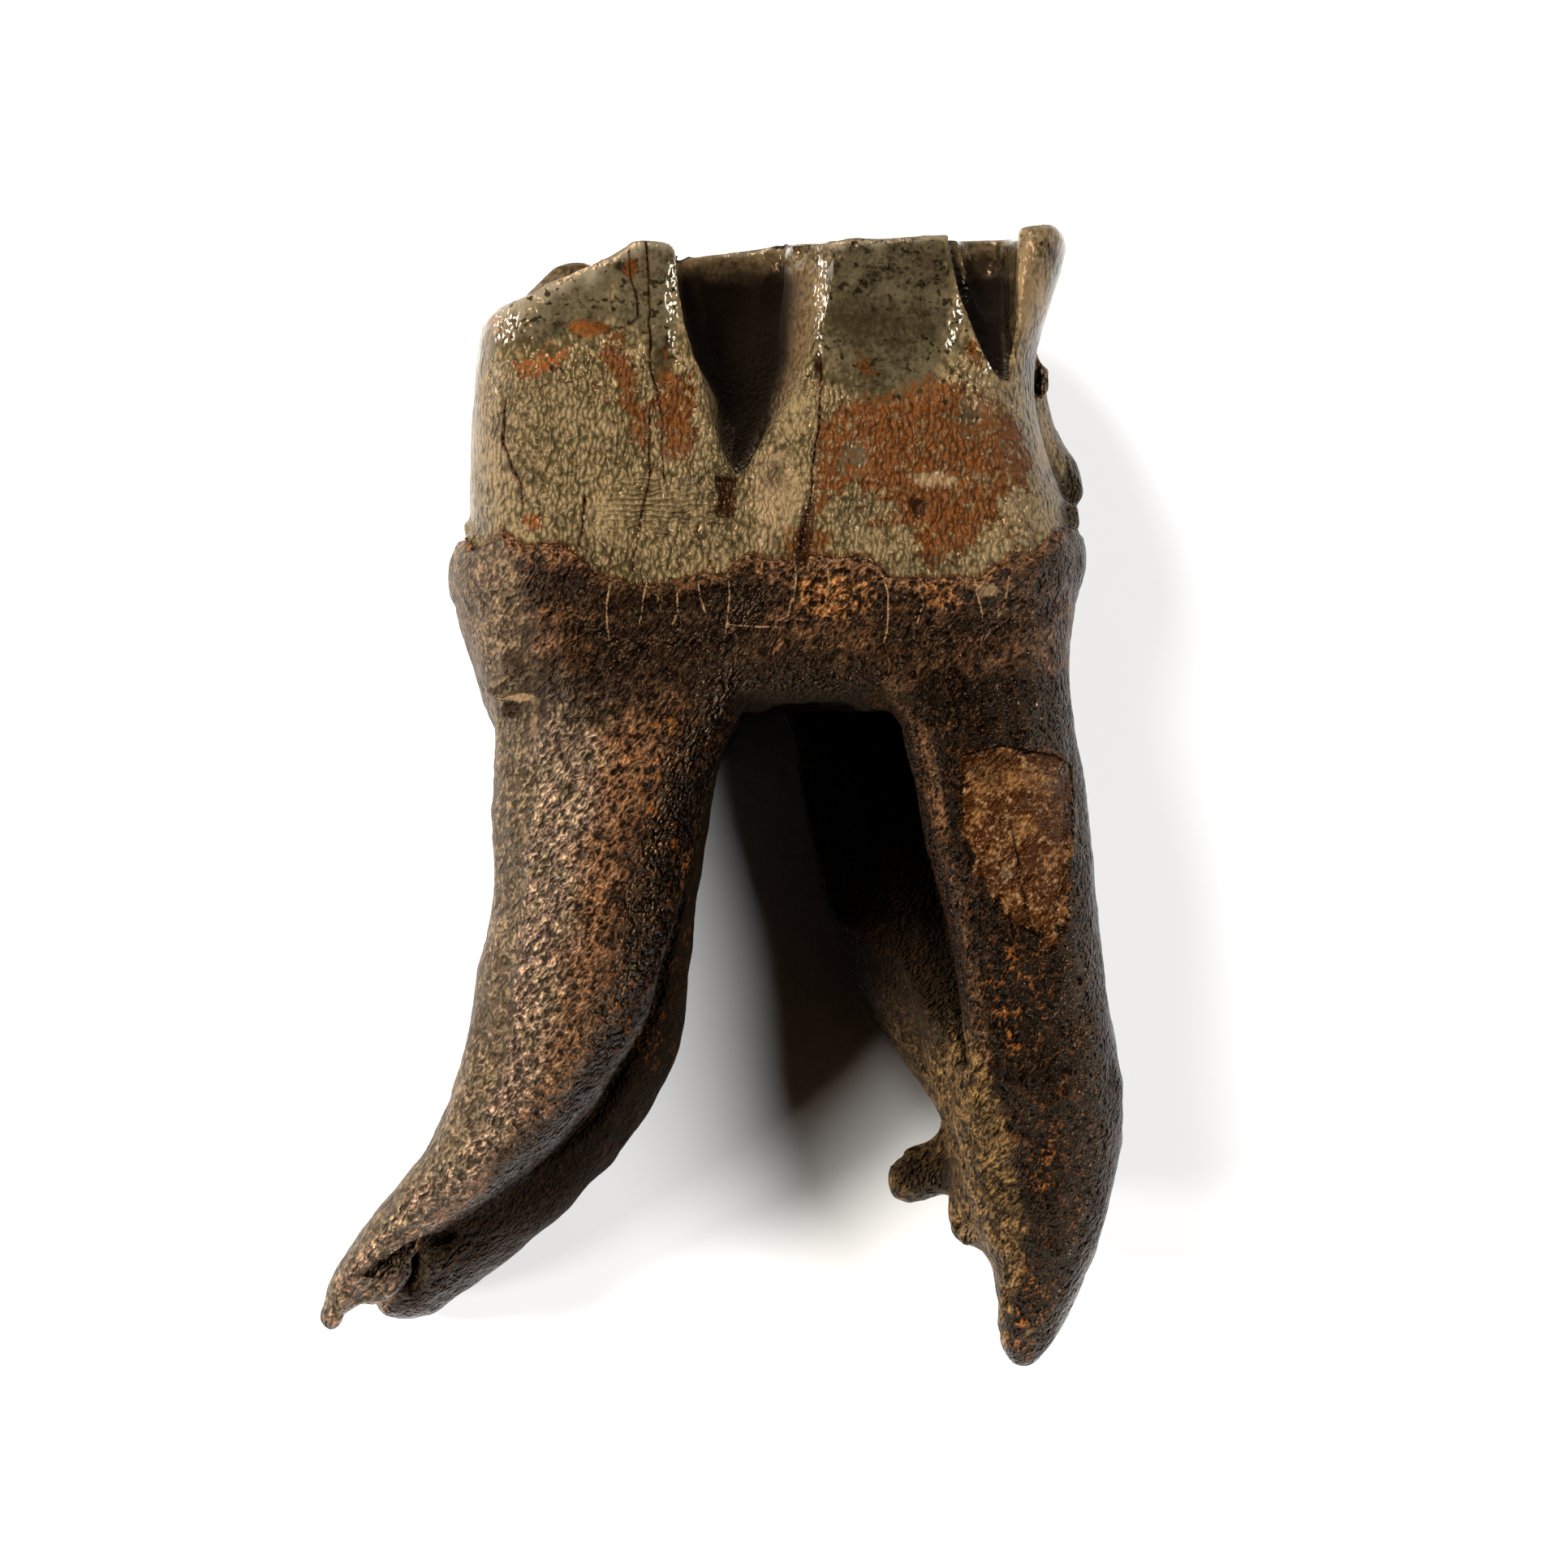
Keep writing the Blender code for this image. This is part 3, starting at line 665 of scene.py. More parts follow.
# Stains: each a list of spots as centre and half sizes in photo pixels, turn in degrees, and strength
stains = {
    "grey": (                   # smooth blue-grey enamel
        (700, 365, 95, 22, 30, 1.0), (800, 345, 36, 55, 0, 1.0), (690, 402, 70, 14, 20, 0.6),
        (1090, 400, 75, 95, 0, 0.9), (1200, 520, 30, 30, 0, 0.8), (1050, 570, 22, 26, 0, 0.8),
        (1175, 590, 46, 20, 0, 0.6), (700, 643, 18, 10, 0, 0.6), (1100, 318, 70, 30, 0, 0.7),
        (818, 400, 14, 80, 0, 0.8), (850, 590, 24, 40, 0, 0.4), (1150, 700, 90, 14, 0, 0.4),
        (1060, 640, 40, 40, 0, 0.5),
    ),
    "dark": (                   # near-black stains, and painted shade in the recesses, above the arch between the roots and down the hind root's right side
        (1090, 330, 80, 46, 0, 0.55), (1130, 400, 60, 60, 0, 0.35), (688, 406, 12, 10, 0, 0.6),
        (764, 332, 6, 8, 0, 0.9), (640, 826, 20, 24, 0, 0.75), (740, 840, 120, 60, 0, 0.85),
        (900, 810, 50, 60, 0, 1.0), (820, 1110, 24, 110, 9, 0.6), (1220, 946, 44, 22, 0, 0.5),
        (640, 1420, 50, 24, 40, 0.8), (905, 826, 50, 50, 0, 1.0), (860, 640, 60, 60, 0, 0.45),
        (628, 877, 16, 10, 0, 1.0), (1135, 1440, 34, 50, 40, 1.0), (1330, 600, 14, 60, 0, 1.0),
        (1325, 640, 18, 40, 0, 0.9), (1278, 436, 12, 56, -4, 1.0), (745, 778, 130, 12, 0, 0.7),
        (905, 800, 60, 40, 0, 0.6), (1190, 820, 120, 40, 0, 0.5), (1270, 790, 70, 50, 0, 0.5),
        (800, 745, 90, 26, 0, 0.75), (900, 740, 70, 26, 0, 0.9), (1110, 780, 60, 40, 0, 0.6),
        (1300, 700, 50, 30, 0, 0.6), (506, 1568, 14, 26, -8, 1.0), (780, 1240, 20, 60, 25, 0.4),
        (1140, 860, 40, 30, 0, 0.7), (1304, 330, 8, 34, 20, 0.8), (960, 860, 90, 20, 0, 0.9),
        (695, 860, 30, 60, 0, 0.35), (930, 820, 60, 50, 0, 0.8), (1050, 800, 70, 40, 0, 0.5),
        (700, 720, 50, 22, 20, 0.7), (700, 930, 26, 50, 10, 0.4), (1200, 860, 60, 50, 0, 0.5),
        (1290, 860, 40, 60, 0, 0.5), (830, 1010, 30, 70, 8, 0.3), (1006, 448, 6, 22, 0, 0.9),
        (1090, 390, 56, 70, 0, 0.4), (815, 1090, 28, 90, 8, 0.55), (1145, 1255, 40, 60, -20, 0.6),
        (1000, 824, 150, 34, 0, 0.9), (880, 826, 110, 44, 0, 1.0), (740, 728, 120, 14, 0, 0.7),
        (1200, 900, 60, 40, 0, 0.4), (640, 1440, 60, 20, 40, 0.5), (1205, 770, 60, 20, 0, 0.8),
        (860, 660, 60, 40, 0, 0.35), (720, 670, 40, 14, 0, 0.4), (1190, 470, 12, 16, 0, 0.5),
        (1160, 500, 12, 10, 0, 0.4), (650, 640, 20, 14, 0, 0.5), (1150, 690, 60, 10, 0, 0.5),
    ),
    "orange": (                 # loose rust
        (728, 408, 30, 12, 0, 0.8), (778, 334, 8, 11, 0, 1.4), (840, 505, 36, 60, 0, 0.55),
        (760, 480, 40, 60, 0, 0.4), (640, 440, 40, 30, 0, 0.35), (600, 400, 14, 20, 0, 0.6),
        (1120, 640, 90, 50, 0, 0.5), (1250, 640, 50, 60, 0, 0.4), (1060, 470, 30, 40, 0, 0.4),
        (1310, 322, 8, 22, 20, 1.2), (1200, 440, 10, 26, 20, 0.8), (1020, 742, 60, 24, 0, 0.7),
        (905, 650, 30, 30, 0, 0.3), (540, 1500, 50, 14, 35, 0.7), (440, 1590, 20, 26, 0, 0.7),
        (820, 1060, 26, 130, 8, 0.9), (800, 900, 70, 50, 0, 0.5), (1240, 1240, 50, 80, 0, 0.45),
        (1290, 1420, 40, 80, 0, 0.35), (790, 1260, 30, 70, 20, 0.8), (990, 670, 40, 26, 0, 0.8),
        (655, 645, 16, 14, 0, 0.9), (820, 420, 16, 50, 0, 0.5), (1270, 1640, 30, 40, 0, 0.9),
        (700, 800, 60, 20, 0, 0.5), (850, 700, 60, 12, 0, 0.5), (1150, 905, 40, 30, 0, 0.3),
        (1270, 1600, 40, 60, 0, 0.4),
    ),
    "pale": (                   # cream and tan stains, with painted highlights down the pillars' edges and painted light on the crown's left edge
        (1192, 1519, 16, 14, 0, 1.0), (407, 1622, 14, 16, 0, 0.6), (1152, 594, 34, 12, 0, 0.8),
        (1215, 730, 16, 10, 0, 1.0), (638, 861, 26, 5, 0, 1.0), (520, 1565, 30, 26, 40, 0.6),
        (470, 1500, 24, 20, 40, 0.5), (1294, 530, 12, 60, -6, 1.0), (1286, 370, 6, 56, 0, 0.8),
        (1276, 290, 26, 14, 0, 0.6), (620, 410, 26, 22, 0, 0.5), (952, 610, 36, 70, 0, 0.8),
        (1236, 1060, 34, 46, 0, 0.45), (1150, 950, 7, 60, 10, 0.5), (660, 900, 5, 60, 2, 0.55),
        (652, 1040, 6, 60, 5, 0.5), (637, 1160, 6, 40, 6, 0.5), (740, 660, 80, 24, 0, 0.3),
        (1235, 745, 40, 16, 0, 0.3), (1300, 1130, 14, 40, 0, 0.4), (862, 318, 26, 12, 0, 0.6),
        (690, 334, 36, 14, -20, 0.7), (1205, 318, 30, 22, 0, 0.75), (1270, 1650, 26, 24, 0, 0.45),
        (1264, 352, 22, 90, 0, 0.85), (600, 520, 26, 130, 0, 0.45), (829, 370, 8, 66, 0, 0.5),
        (1005, 380, 8, 84, 0, 0.5), (1176, 370, 7, 60, -14, 0.5), (800, 560, 90, 40, 0, 0.3),
        (740, 560, 60, 60, 0, 0.4), (1236, 1040, 30, 70, 0, 0.4), (690, 420, 60, 20, 20, 0.3),
        (620, 660, 30, 12, 30, 0.3), (1000, 560, 20, 60, 0, 0.3),
    ),
    "chipsAndPaintedGlints": (                  # white chips, and painted highlights (glints) along the pillars' edges
        (829, 372, 9, 70, 0, 1.0), (1006, 376, 9, 86, 0, 1.0), (1180, 384, 8, 66, -14, 1.0),
        (622, 404, 22, 34, 0, 0.8), (1224, 450, 8, 20, -30, 0.8), (610, 480, 10, 60, 0, 0.5),
        (1276, 290, 20, 8, 0, 0.6),
    ),
    "rippled": ((808, 626, 76, 34, 0, 0.85), (650, 560, 30, 70, 0, 0.3), (1000, 640, 30, 20, 0, 0.5)),
}


def hollowness(field, axes, low, points):   # mm, above 0 in dips and below 0 on ridges
    spread = blurred(field, relief["hollowReach"] / fine["voxel"])
    cell = np.rint(points / fine["voxel"]).astype(int) - low
    cell = np.clip(cell, 0, np.array(field.shape) - 1)
    return -spread[cell[:, 0], cell[:, 1], cell[:, 2]] + field[cell[:, 0], cell[:, 1], cell[:, 2]]


def describe(points, normals):
    x, y, z = points.T
    facing = (normals[:, 2] > 0.05) & (z > 11.0)
    marks = {"cement": cementDepth(points)}
    across, nearest, crackDepth = crackField(points, facing)
    marks["crackAcross"] = np.clip(across, -4, 4)
    marks["crackNear"] = 1 - rise(2.0, 3.5, nearest)
    for name in patches:
        marks[name] = np.clip(patchField(name, points, facing), -3, 3)
    marks["hair"], marks["hairNear"] = hairField(points, facing)
    root = rise(0.0, 1.0, marks["cement"])
    stripEdge = np.interp(y, *zip(*leftStrip["edge"]))
    spread = 0.7 + 2.2 * rise(2.0, 9.0, y)
    outside = rise(1.0, -1.0, (x - stripEdge + 0.5 * layered(points, 1.8, 33)) / spread) * root
    turnedAway = outside * rise(-0.2, -0.8, normals[:, 0])
    marks["dusty"] = np.clip(outside * rise(-34, -22, y) + 0.7 * turnedAway, 0, 1)
    # across the hind root from its pale strip to its lobe's edge: carries its colour and the painted shade
    # on its right side
    lobe = onPhoto(steps["hindRoot"]["edge"])[::-1]
    lobeEdge = np.interp(y, lobe[:, 1], lobe[:, 0])
    share = np.clip((x - stripEdge) / np.maximum(lobeEdge - stripEdge, 1.0), -0.5, 1.5)
    flank = onPhoto(steps["frontRoot"]["edge"])[::-1]
    flankShare = 1.0 - 0.36 * np.exp(-((x - np.interp(y, flank[:, 1], flank[:, 0]) - 1.2) / 1.3) ** 2)
    marks["share"] = np.where(x < 5.0, share, flankShare) * rise(13.0, 6.0, y) + 0.55 * rise(6.0, 13.0, y)
    for name, spotsOf in stains.items():
        marks[name] = np.where(facing | (y < 30), stainField(spotsOf, points), 0.0)
    porousLine = np.interp(y, *zip(*porousEdge))
    marks["porous"] = rise(2.0, -1.0, x - porousLine) * rise(-10, -27, y) * rise(5.0, 9.0, x) * root
    marks["recess"] = recessShade(points)
    marks["polish"] = rise(28.0, 41.0, y + 1.6 * layered(points, 4.0, 31)) * (1 - root)
    marks["valley"] = valleyShade(points)
    edge = onPhoto(wornEdge["line"])
    under = np.interp(x, edge[:, 0], edge[:, 1]) - y
    columns, widths = zip(*wornEdge["paleWidths"])
    reach = np.interp(x, onPhoto([(column, 0) for column in columns])[:, 0], widths)
    marks["rimBand"] = rise(1.0, 0.3, under / reach + 0.3 * layered(points, 1.5, 91)) * facing * (1 - root)
    marks["worn"] = rise(0.55, 0.8, normals[:, 1]) * rise(38.0, 40.0, y) * rise(28.5, 26.5, z)
    return marks, crackDepth


def recessShade(points):        # 1 in the dark below the steps between the root lobes
    shade = np.zeros(len(points))
    for step in steps.values():
        away, side = distanceTo(step["edge"], points[:, :2])
        beyond = away * side * step["side"]
        bottom, top = step["heights"]
        level = rise(bottom - 1.0, bottom + 9.0, points[:, 1]) * rise(top + 3.0, top, points[:, 1])
        shade = np.maximum(shade, rise(-0.2, 0.5, beyond) * rise(12.5, 11.5, beyond) * level)
    return shade


def valleyShade(points):        # 1 deep inside a valley, 0 outside
    x, y, z = points.T
    shade = np.zeros(len(points))
    for valley in valleys.values():
        left, right = acrossAt(valley["leftLip"], y), acrossAt(valley["rightLip"], y)
        inside = rise(-0.3, 0.3, np.minimum(x - left, right - x)) * rise(26.0, 27.0, y)
        wall = (right - x) / np.maximum(right - acrossAt(valley["rightFoot"], y), 0.8)
        dark = rise(0.0, 1.25, wall) * rise(44.9, 41.6, y + 0.7 * layered(points, 2.0, 81))
        shade = np.maximum(shade, inside * dark)
    return shade


def heightOf(points, normals, marks, crackDepth):
    below = marks["cement"]
    root = rise(0.0, 0.5, below)
    band = np.exp(-((below - relief["bandWidth"] / 2) / (relief["bandWidth"] / 2)) ** 2)
    height = cement["thickness"] * (rise(-0.1, 0.3, below) - 1)
    deep, middle, half = relief["bandGroove"]
    height += relief["bandSwell"] * band * root - deep * np.exp(-((below - middle) / half) ** 2)
    size, width = relief["enamelWaves"]
    height += (1 - root) * size * layered(points * (1.0, 1.6, 1.0), width, 41)
    size, width = relief["cementLumps"]
    height += root * size * layered(points * (1.0, 0.55, 1.0), width, 51)
    size, width = relief["cementGrain"]
    along = points[:, 0] * 0.58 + points[:, 1] * 0.81
    over = points[:, 0] * 0.81 - points[:, 1] * 0.58
    height += root * size * layered(np.column_stack([over, along * 0.55, points[:, 2]]), width, 61, 2)
    size, width = relief["porousPits"]
    pits = rise(0.15, 0.8, swirl(points, width, 71))
    height -= size * pits * np.maximum(marks["porous"], 0.35 * marks["dusty"])
    height -= relief["chipDepth"] * rise(-0.05, 0.12, marks["darkBlots"]) * (1 - root)
    height -= relief["peelDepth"] * rise(-0.1, 0.35, marks["peel"]) * root
    height -= leftStrip["step"] * marks["dusty"] * rise(0.0, 3.0, below)
    return height - crackDepth


def buildTooth():
    field, axes, low = fieldOf(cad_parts["tooth"])
    field = softened(field, axes)
    field = trimWornEdge(field, axes)
    field = carveValleys(field, axes)
    field = carveBrokenFront(field, axes)
    field = carveSteps(field, axes)
    field = addLumps(field, axes)
    points, quads = largestPart(*surfaceOf(field, low))
    print("the fine skin has", len(quads) * 2, "triangles")
    normals = normalsOf(points, quads)
    marks, crackDepth = describe(points, normals)
    # how deep each point lies in a dip, which carries painted shade
    marks["paintedHollowShade"] = hollowness(field, axes, low, points)
    moved = points + normals * heightOf(points, normals, marks, crackDepth)[:, None]
    moved[:, 2] = np.maximum(moved[:, 2], 0.0)
    return moved, quads, marks


def addPiece(name, points, quads, normals, marks, chosen, material):
    faces = quads[chosen]
    used = np.unique(faces)
    number = np.zeros(len(points), np.int64)
    number[used] = np.arange(len(used))
    mesh = makeMesh(name, points[used], number[faces], normals[used])
    for mark, values in marks.items():
        layer = mesh.attributes.new(mark, "FLOAT", "POINT")
        layer.data.foreach_set("value", values[used].astype(np.float32))
    piece = bpy.data.objects.new(name, mesh)
    bpy.context.scene.collection.objects.link(piece)
    mesh.materials.append(material)
    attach(piece, "root")
    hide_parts("tooth")
    print(name, "has", len(faces) * 2, "triangles")
    return piece


class Wire:                     # one output socket, so that shader maths reads as plain sums
    def __init__(self, shader, socket):
        self.shader = shader
        self.socket = socket

    def maths(self, operation, *others):
        return self.shader.node("Math", {"operation": operation}, self, *others)

    def __add__(self, other):
        return self.maths("ADD", other)

    __radd__ = __add__

    def __sub__(self, other):
        return self.maths("SUBTRACT", other)

    def __rsub__(self, other):
        return self.shader.node("Math", {"operation": "SUBTRACT"}, other, self)

    def __mul__(self, other):
        return self.maths("MULTIPLY", other)

    __rmul__ = __mul__

    def __abs__(self):
        return self.maths("ABSOLUTE")


class Shader:                   # builds one material's nodes
    def __init__(self, name):
        self.material = bpy.data.materials.new(name)
        self.material.use_nodes = True
        self.tree = self.material.node_tree
        self.surface = self.tree.nodes["Principled BSDF"]

    def plug(self, socket, value):
        if isinstance(value, Wire):
            self.tree.links.new(value.socket, socket)
        elif isinstance(value, tuple) and len(value) == 3 and socket.type == "RGBA":
            socket.default_value = (*value, 1.0)
        else:
            socket.default_value = value

    def node(self, kind, settings=None, *values, output=0, **named):
        made = self.tree.nodes.new("ShaderNode" + kind)
        for key, value in (settings or {}).items():
            setattr(made, key, value)
        for socket, value in zip(made.inputs, values):
            self.plug(socket, value)
        for key, value in named.items():
            self.plug(made.inputs[key], value)
        return Wire(self, made.outputs[output])

    def mark(self, name):       # a number that the mesh carries at each point
        return self.node("Attribute", {"attribute_name": name}, output="Fac")

    def ramp(self, value, low, high, start=0.0, end=1.0):
        settings = {"interpolation_type": "SMOOTHSTEP"}
        return self.node("MapRange", settings, value, low, high, start, end)

    def blend(self, share, one, two):
        made = self.tree.nodes.new("ShaderNodeMix")
        made.data_type = "RGBA"
        self.plug(made.inputs[0], share)
        self.plug(made.inputs[6], one)
        self.plug(made.inputs[7], two)
        return Wire(self, made.outputs[2])

    def scaled(self, colour, factor):
        return self.node("VectorMath", {"operation": "SCALE"}, Vector=colour, Scale=factor)

    def stretched(self, place, scale):
        return self.node("VectorMath", {"operation": "MULTIPLY"}, place, scale)

    def noise(self, place, width, detail=3.0, roughness=0.5, output=0):
        return self.node("TexNoise", None, Vector=place, Scale=1.0 / width, Detail=detail,
                         Roughness=roughness, output=output)

    def calmed(self, noise, share):     # drawn in towards its middle
        return 0.5 + (noise - 0.5) * share

    def cells(self, place, width):
        return self.node("TexVoronoi", None, Vector=place, Scale=1.0 / width)


# Colours as linear red, green and blue
colours = {
    "enamelPale": (0.134, 0.092, 0.043),
    "enamelOlive": (0.034, 0.024, 0.009),
    "enamelBlue": (0.050, 0.039, 0.021),
    "enamelGrey": (0.015, 0.011, 0.005),
    "enamelRim": (0.140, 0.112, 0.072),
    "enamelDark": (0.006, 0.004, 0.002),
    "rust": (0.068, 0.017, 0.0015),
    "rustDark": (0.028, 0.0068, 0.0008),
    "blot": (0.012, 0.003, 0.001),
    "cementBrown": (0.074, 0.033, 0.014),
    "cementDark": (0.0025, 0.0012, 0.0006),
    "cementMauve": (0.100, 0.062, 0.041),
    "cementOlive": (0.088, 0.061, 0.035),
    "cementRed": (0.110, 0.034, 0.006),
    "cementTan": (0.230, 0.145, 0.080),
    "dust": (0.032, 0.023, 0.013),
    "dustTan": (0.070, 0.047, 0.026),
    "peelOrange": (0.028, 0.0075, 0.0012),
    "peelTan": (0.130, 0.056, 0.016),
    "olive": (0.040, 0.023, 0.008),
    "oliveTan": (0.110, 0.060, 0.021),
    "cream": (0.170, 0.110, 0.055),
    "crack": (0.001, 0.0006, 0.0004),
    # painted shade: near black, for the valleys, under the root steps and in the dips
    "valley": (0.0008, 0.0005, 0.0003),
    "valleyWall": (0.100, 0.065, 0.032),
    "dentine": (0.050, 0.030, 0.013),
    # painted highlight: the white of the glints along the pillars' edges, and of the chips
    "chipsAndPaintedGlints": (0.62, 0.56, 0.46),
    "glossTint": (1.0, 0.62, 0.34),
}
gloss = {
    "level": 0.19,              # how strongly the surface mirrors
    "shutRoughness": 0.95,      # in the valleys and under the steps
}


def fossilMaterial():
    s = Shader("fossilTooth")
    c = colours
    place = s.stretched(s.node("TexCoord", output="Object"), (1 / mm, 1 / mm, 1 / mm))
    below = s.mark("cement")
    broad = s.calmed(s.noise(place, 5.0, 1.0), 0.82)
    middling = s.calmed(s.noise(place, 1.7, 2.0, 0.6), 0.88)
    small = s.calmed(s.noise(place, 0.50, 1.0, 0.6), 0.85)
    fine = s.calmed(s.noise(place, 0.20, 0.0), 0.65)

    def ragged(value, low, high, *shares):  # a ramp whose edge wanders with the noises
        for noise, share in zip((middling, small, fine), shares):
            value = value + (noise - 0.5) * share if share else value
        return s.ramp(value, low, high)

    # beads in the surface: upright on the enamel, slanting on the roots
    drift = s.noise(place, 0.9, 0.0, output="Color")
    shaken = s.node("VectorMath", {"operation": "MULTIPLY_ADD"}, drift, (0.5, 0.5, 0.5), place)
    slanted = s.node("VectorRotate", {"rotation_type": "Z_AXIS"}, Vector=shaken, Angle=0.62)
    beadPlace = s.blend(s.ramp(below, -0.17, -0.15), s.stretched(shaken, (2.6, 1.4, 2.2)),
                        s.stretched(slanted, (3.4, 1.6, 2.6)))
    beads = 1.0 - s.cells(beadPlace, 1.0)
    folds = s.calmed(s.noise(s.stretched(slanted, (1.0, 0.55, 0.9)), 0.6, 2.0, 0.66), 0.9)
    rugged = beads * 0.35 + folds * 0.9 + (small - 0.5) * 0.5
    upTheTooth = s.node("SeparateXYZ", None, shaken, output=1)
    ripples = 0.55 + 0.2 * (upTheTooth * 14.0 + middling * 7.0).maths("SINE")
    beads = beads + (ripples - beads) * ragged(s.mark("rippled"), 0.1, 0.95, 1.6) * 0.7

    # enamel: tan and olive beads, smoother and greyer near the chewing edge, with dark specks
    polish = s.mark("polish")
    tone = beads * 0.55 + middling * 0.35 + broad * 0.6 + (fine - 0.5) * 0.3
    enamel = s.blend(s.ramp(tone, 0.56, 0.92), c["enamelOlive"], c["enamelPale"])
    # painted light on the beads' tops and painted shade between them
    enamel = s.scaled(enamel, s.ramp(beads + (fine - 0.5) * 0.3, 0.45, 0.85, 0.95, 1.12))
    grey = ragged(s.mark("grey") + polish * 0.35, 0.15, 0.8, 1.1, 0.5)
    enamel = s.blend(grey * 0.9, enamel,
                     s.blend(s.ramp(broad + small, 0.8, 1.2), c["enamelGrey"], c["enamelBlue"]))
    dots = s.calmed(s.noise(place, 0.8, 1.0, 0.7), 0.9)
    specks = s.ramp(dots + (fine - 0.5) * 0.25, 0.595, 0.66)
    specks = specks * s.ramp(broad + middling, 0.80, 1.0, 0.35, 1.0)
    enamel = s.blend(s.mark("rimBand") * 0.9, enamel, s.scaled(c["enamelRim"], 0.75 + middling * 0.5))
    enamel = s.blend(specks * s.ramp(polish + grey * 0.5, 0.1, 0.6, 0.0, 0.9), enamel, c["enamelDark"])
    rust = ragged(s.mark("rust"), -0.05, 0.15, 3.8, 3.4, 1.4)
    rustColour = s.blend(s.ramp(small + (fine - 0.5) * 0.6, 0.40, 0.66), c["rust"], c["rustDark"])
    towardsFront = s.node("SeparateXYZ", None, place)
    rustColour = s.scaled(rustColour, s.ramp(towardsFront, -13.0, -8.0, 1.9, 1.0))
    looseRust = ragged(s.mark("orange"), 0.42, 0.62, 1.6, 0.9)
    enamel = s.blend(looseRust * 0.75, enamel, rustColour)
    worn = ragged(s.mark("grey"), 0.35, 0.6, 0, 1.2) * s.ramp(middling, 0.40, 0.56)
    rust = rust * (1.0 - worn * 0.85) * (1.0 - s.ramp(dots + (fine - 0.5) * 0.6, 0.56, 0.64) * 0.75)
    enamel = s.blend(rust * 0.94, enamel, rustColour)
    enamel = s.blend(s.mark("worn"), enamel, c["dentine"])

    # cement: mauve-grey to the left of the hind root, then brown and orange grains, then painted shade
    # going near black to the right, where the root turns away from the light
    share = s.mark("share") + (broad - 0.5) * 0.35 + (middling - 0.5) * 0.25
    hue = s.calmed(s.noise(place, 2.6, 1.0, 0.55), 0.82)
    root = s.blend(s.ramp(hue, 0.40, 0.60), c["cementMauve"], c["cementOlive"])
    root = s.blend(s.ramp(share, 0.20, 0.52), root, c["cementBrown"])
    # painted shade: near black over the hind root's right side
    root = s.blend(s.ramp(share, 0.52, 0.78), root, c["cementDark"])
    lift = rugged + (fine - 0.5) * 0.35
    warm = ragged(s.mark("orange"), 0.15, 0.75, 0.9)
    redGrains = s.ramp(lift, 0.58, 0.80) * s.ramp(middling, 0.42, 0.58) * (0.15 + warm * 0.85)
    root = s.blend(redGrains, root, c["cementRed"])
    root = s.blend(s.ramp(lift, 0.68, 0.88) * s.ramp(share, 0.7, 0.1) * 0.65, root, c["cementTan"])
    dusty = ragged(s.mark("dusty"), 0.25, 0.75, 0.5)
    dust = s.blend(s.ramp(broad + (small - 0.5), 0.4, 0.7), c["dust"], c["dustTan"])
    root = s.blend(dusty * 0.9, root, dust)
    porous = ragged(s.mark("porous"), 0.2, 0.8, 0.8)
    root = s.blend(porous * 0.9, root, s.blend(s.ramp(middling, 0.4, 0.6), c["olive"], c["oliveTan"]))
    dotted = s.ramp(dots + (fine - 0.5) * 0.5, 0.57, 0.66) * s.ramp(broad + small, 0.85, 1.1)
    root = s.blend(dotted * s.ramp(dusty + porous, 0.2, 0.8) * 0.8, root, c["cementDark"])
    tan = ragged(s.mark("tan"), -0.1, 0.25, 2.6, 1.0)
    root = s.blend(tan * 0.7, root, s.blend(s.ramp(small, 0.45, 0.6), c["peelOrange"], c["peelTan"]))
    peel = ragged(s.mark("peel"), -0.05, 0.25, 3.2, 1.6)
    peelColour = s.blend(s.ramp(hue + (small - 0.5) * 0.9, 0.46, 0.70), c["peelOrange"], c["peelTan"])
    peelColour = s.blend(s.ramp(lift, 0.50, 0.36) * 0.85, peelColour, c["blot"])
    peelColour = s.blend(s.ramp(small + (fine - 0.5) * 0.6, 0.62, 0.72) * 0.6, peelColour, c["cementTan"])
    band = s.ramp(below, 0.3, 1.2) * s.ramp(below + (broad - 0.5) * 2.0, 8.0, 5.5)
    band = band * (1.0 - dusty) * (1.0 - tan)
    root = s.blend(band * s.ramp(middling + (small - 0.5) * 0.5, 0.70, 0.44) * 0.88, root, c["cementDark"])
    # painted shade in the grooves between the grains, stronger to the right, and painted light on the
    # grains' tops
    between = s.ramp(lift, 0.62, 0.46) * s.ramp(share, 0.1, 0.6, 0.62, 0.92) * (1.0 - dusty * 0.4)
    root = s.blend(between, root, c["cementDark"])
    root = s.scaled(root, s.ramp(lift, 0.50, 0.92, 0.65, 3.0))
    root = s.blend(peel * 0.95, root, peelColour)

    # the ragged edge between them, stains, blots, cracks, painted shade in the valleys, under the root
    # steps and in dips, and painted highlights along the pillars' edges
    onCement = ragged(below, -0.20, -0.12, 0, 0.5)
    rim = s.ramp(abs(below + 0.25 + (small - 0.5) * 0.5), 0.35, 0.10)
    enamel = s.blend(rim * 0.7, enamel, c["rustDark"])
    colour = s.blend(onCement, enamel, root)
    pale = ragged(s.mark("pale"), 0.35, 0.8, 0.8, 1.0)
    # near-black stains, and painted shade in recesses, above the arch and down the hind root's right side
    dark = ragged(s.mark("dark"), 0.20, 0.85, 1.5, 1.3, 0.6)
    colour = s.blend(dark * 0.88, colour, c["cementDark"])
    blots = ragged(s.mark("darkBlots"), -0.05, 0.12, 0, 0.7)
    colour = s.blend(blots * 0.9, colour, c["blot"])
    deep, recess = s.mark("valley"), s.mark("recess")
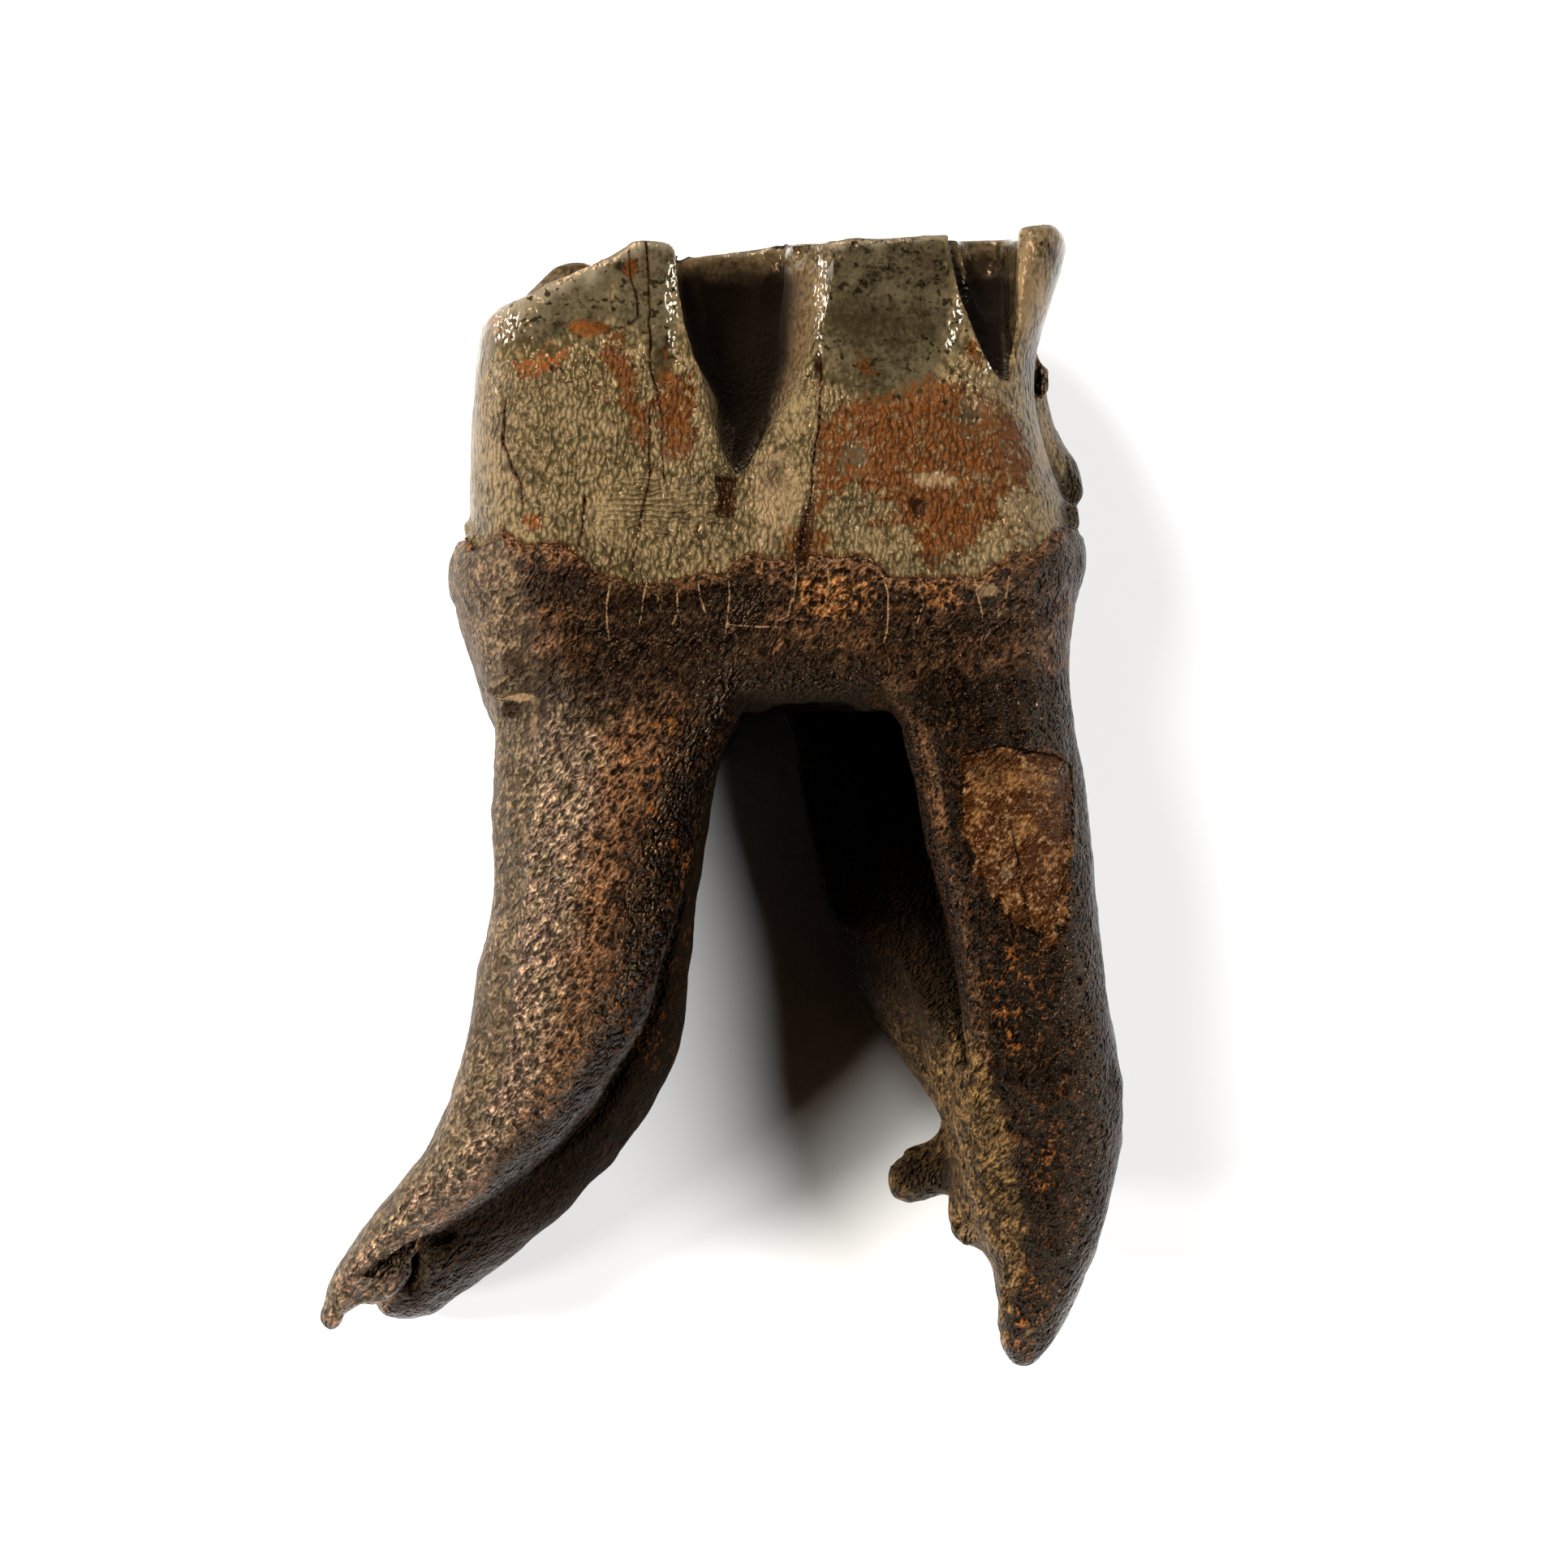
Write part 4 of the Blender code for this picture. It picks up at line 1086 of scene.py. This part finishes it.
    # painted shade under the steps between the root lobes
    colour = s.blend(ragged(recess, 0.1, 0.9, 0.5) * 0.55, colour, c["valley"])
    # the valleys' upper walls brown, and painted shade going near black deeper in
    colour = s.blend(s.ramp(deep, 0.0, 0.2), colour,
                     s.blend(s.ramp(small, 0.40, 0.65), c["valleyWall"], c["dentine"]))
    colour = s.blend(s.ramp(deep, 0.15, 1.0), colour, c["valley"])
    # cream and tan stains, with painted highlights down the pillars' edges and painted light on the crown's
    # left edge
    colour = s.blend(pale * 0.8, colour, c["cream"])
    # painted highlights: white glints along the pillars' edges, with some real white chips
    upright = s.noise(s.stretched(shaken, (1.6, 0.8, 1.0)), 0.4, 1.0, 0.6)
    chipsAndPaintedGlints = s.ramp(upright, 0.56, 0.64) * ragged(s.mark("chipsAndPaintedGlints"), 0.4, 0.8, 1.2)
    colour = s.blend(chipsAndPaintedGlints, colour, c["chipsAndPaintedGlints"])
    # painted shade: darker in the dips of the surface
    colour = s.blend(s.ramp(s.mark("paintedHollowShade"), 0.05, 0.35) * 0.8, colour, c["valley"])
    hair = s.ramp(abs(s.mark("hair")) + (fine - 0.5) * 2.0, 1.3, 0.6) * s.mark("hairNear")
    colour = s.blend(hair * s.ramp(small, 0.36, 0.5), colour, s.blend(small, c["peelTan"], c["cementTan"]))
    nearCrack = s.mark("crackNear")
    wobble = (small - 0.5) * 1.6 + (middling - 0.5) * 1.2
    fringe = s.ramp(abs(s.mark("crackAcross")) + wobble, 2.6, 1.0) * nearCrack
    colour = s.blend(fringe * 0.7, colour, s.blend(s.ramp(middling, 0.42, 0.58), c["blot"], c["rustDark"]))
    crack = s.ramp(abs(s.mark("crackAcross")) + wobble, 0.8, 0.35) * nearCrack
    colour = s.blend(crack, colour, c["crack"])
    s.plug(s.surface.inputs["Base Color"], colour)

    smooth = s.ramp(s.mark("grey") + polish + s.mark("rimBand"), 0.2, 1.0)
    enamelRough = s.ramp(smooth, 0.0, 1.0, 0.20, 0.15) + rust * 0.3
    cementRough = s.ramp(small, 0.4, 0.65, 0.14, 0.28) + dusty * 0.3 + porous * 0.3
    rough = enamelRough + (cementRough - enamelRough) * onCement
    shut = s.ramp(deep, 0.3, 0.8) * (1.0 - recess) + recess
    rough = rough + (gloss["shutRoughness"] - rough) * shut
    s.plug(s.surface.inputs["Roughness"], rough)
    s.surface.inputs["Specular IOR Level"].default_value = gloss["level"]
    s.plug(s.surface.inputs["Specular Tint"], c["glossTint"])

    # relief in mm, for the bump
    enamelHeight = beads * s.ramp(smooth, 0.0, 1.0, 0.46, 0.04)
    enamelHeight = enamelHeight + middling * s.ramp(smooth, 0.0, 1.0, 0.30, 0.15)
    enamelHeight = enamelHeight + small * s.ramp(smooth, 0.0, 1.0, 0.10, 0.03)
    flat = dusty + s.ramp(s.mark("peel"), -0.1, 0.2, 0.0, 0.6)
    cementHeight = rugged * s.ramp(flat, 0.0, 1.0, 1.7, 0.65) + fine * 0.10
    height = enamelHeight + (cementHeight + 0.2 - enamelHeight) * onCement
    bump = s.node("Bump", None, Strength=1.0, Distance=mm, Height=height)
    s.plug(s.surface.inputs["Normal"], bump)
    return s.material


points, quads, marks = buildTooth()
normals = normalsOf(points, quads)
material = fossilMaterial()
onRoots = marks["cement"][quads].mean(axis=1) > 0.0
betweenRoots = 4.0              # mm, x
toTheFront = points[quads, 0].mean(axis=1) > betweenRoots
pieces = {
    "enamelCrown": ~onRoots,
    "hindRoot": onRoots & ~toTheFront,
    "frontRoot": onRoots & toTheFront,
}
for name, chosen in pieces.items():
    addPiece(name, points, quads, normals, marks, chosen, material)
print("the tooth is built")
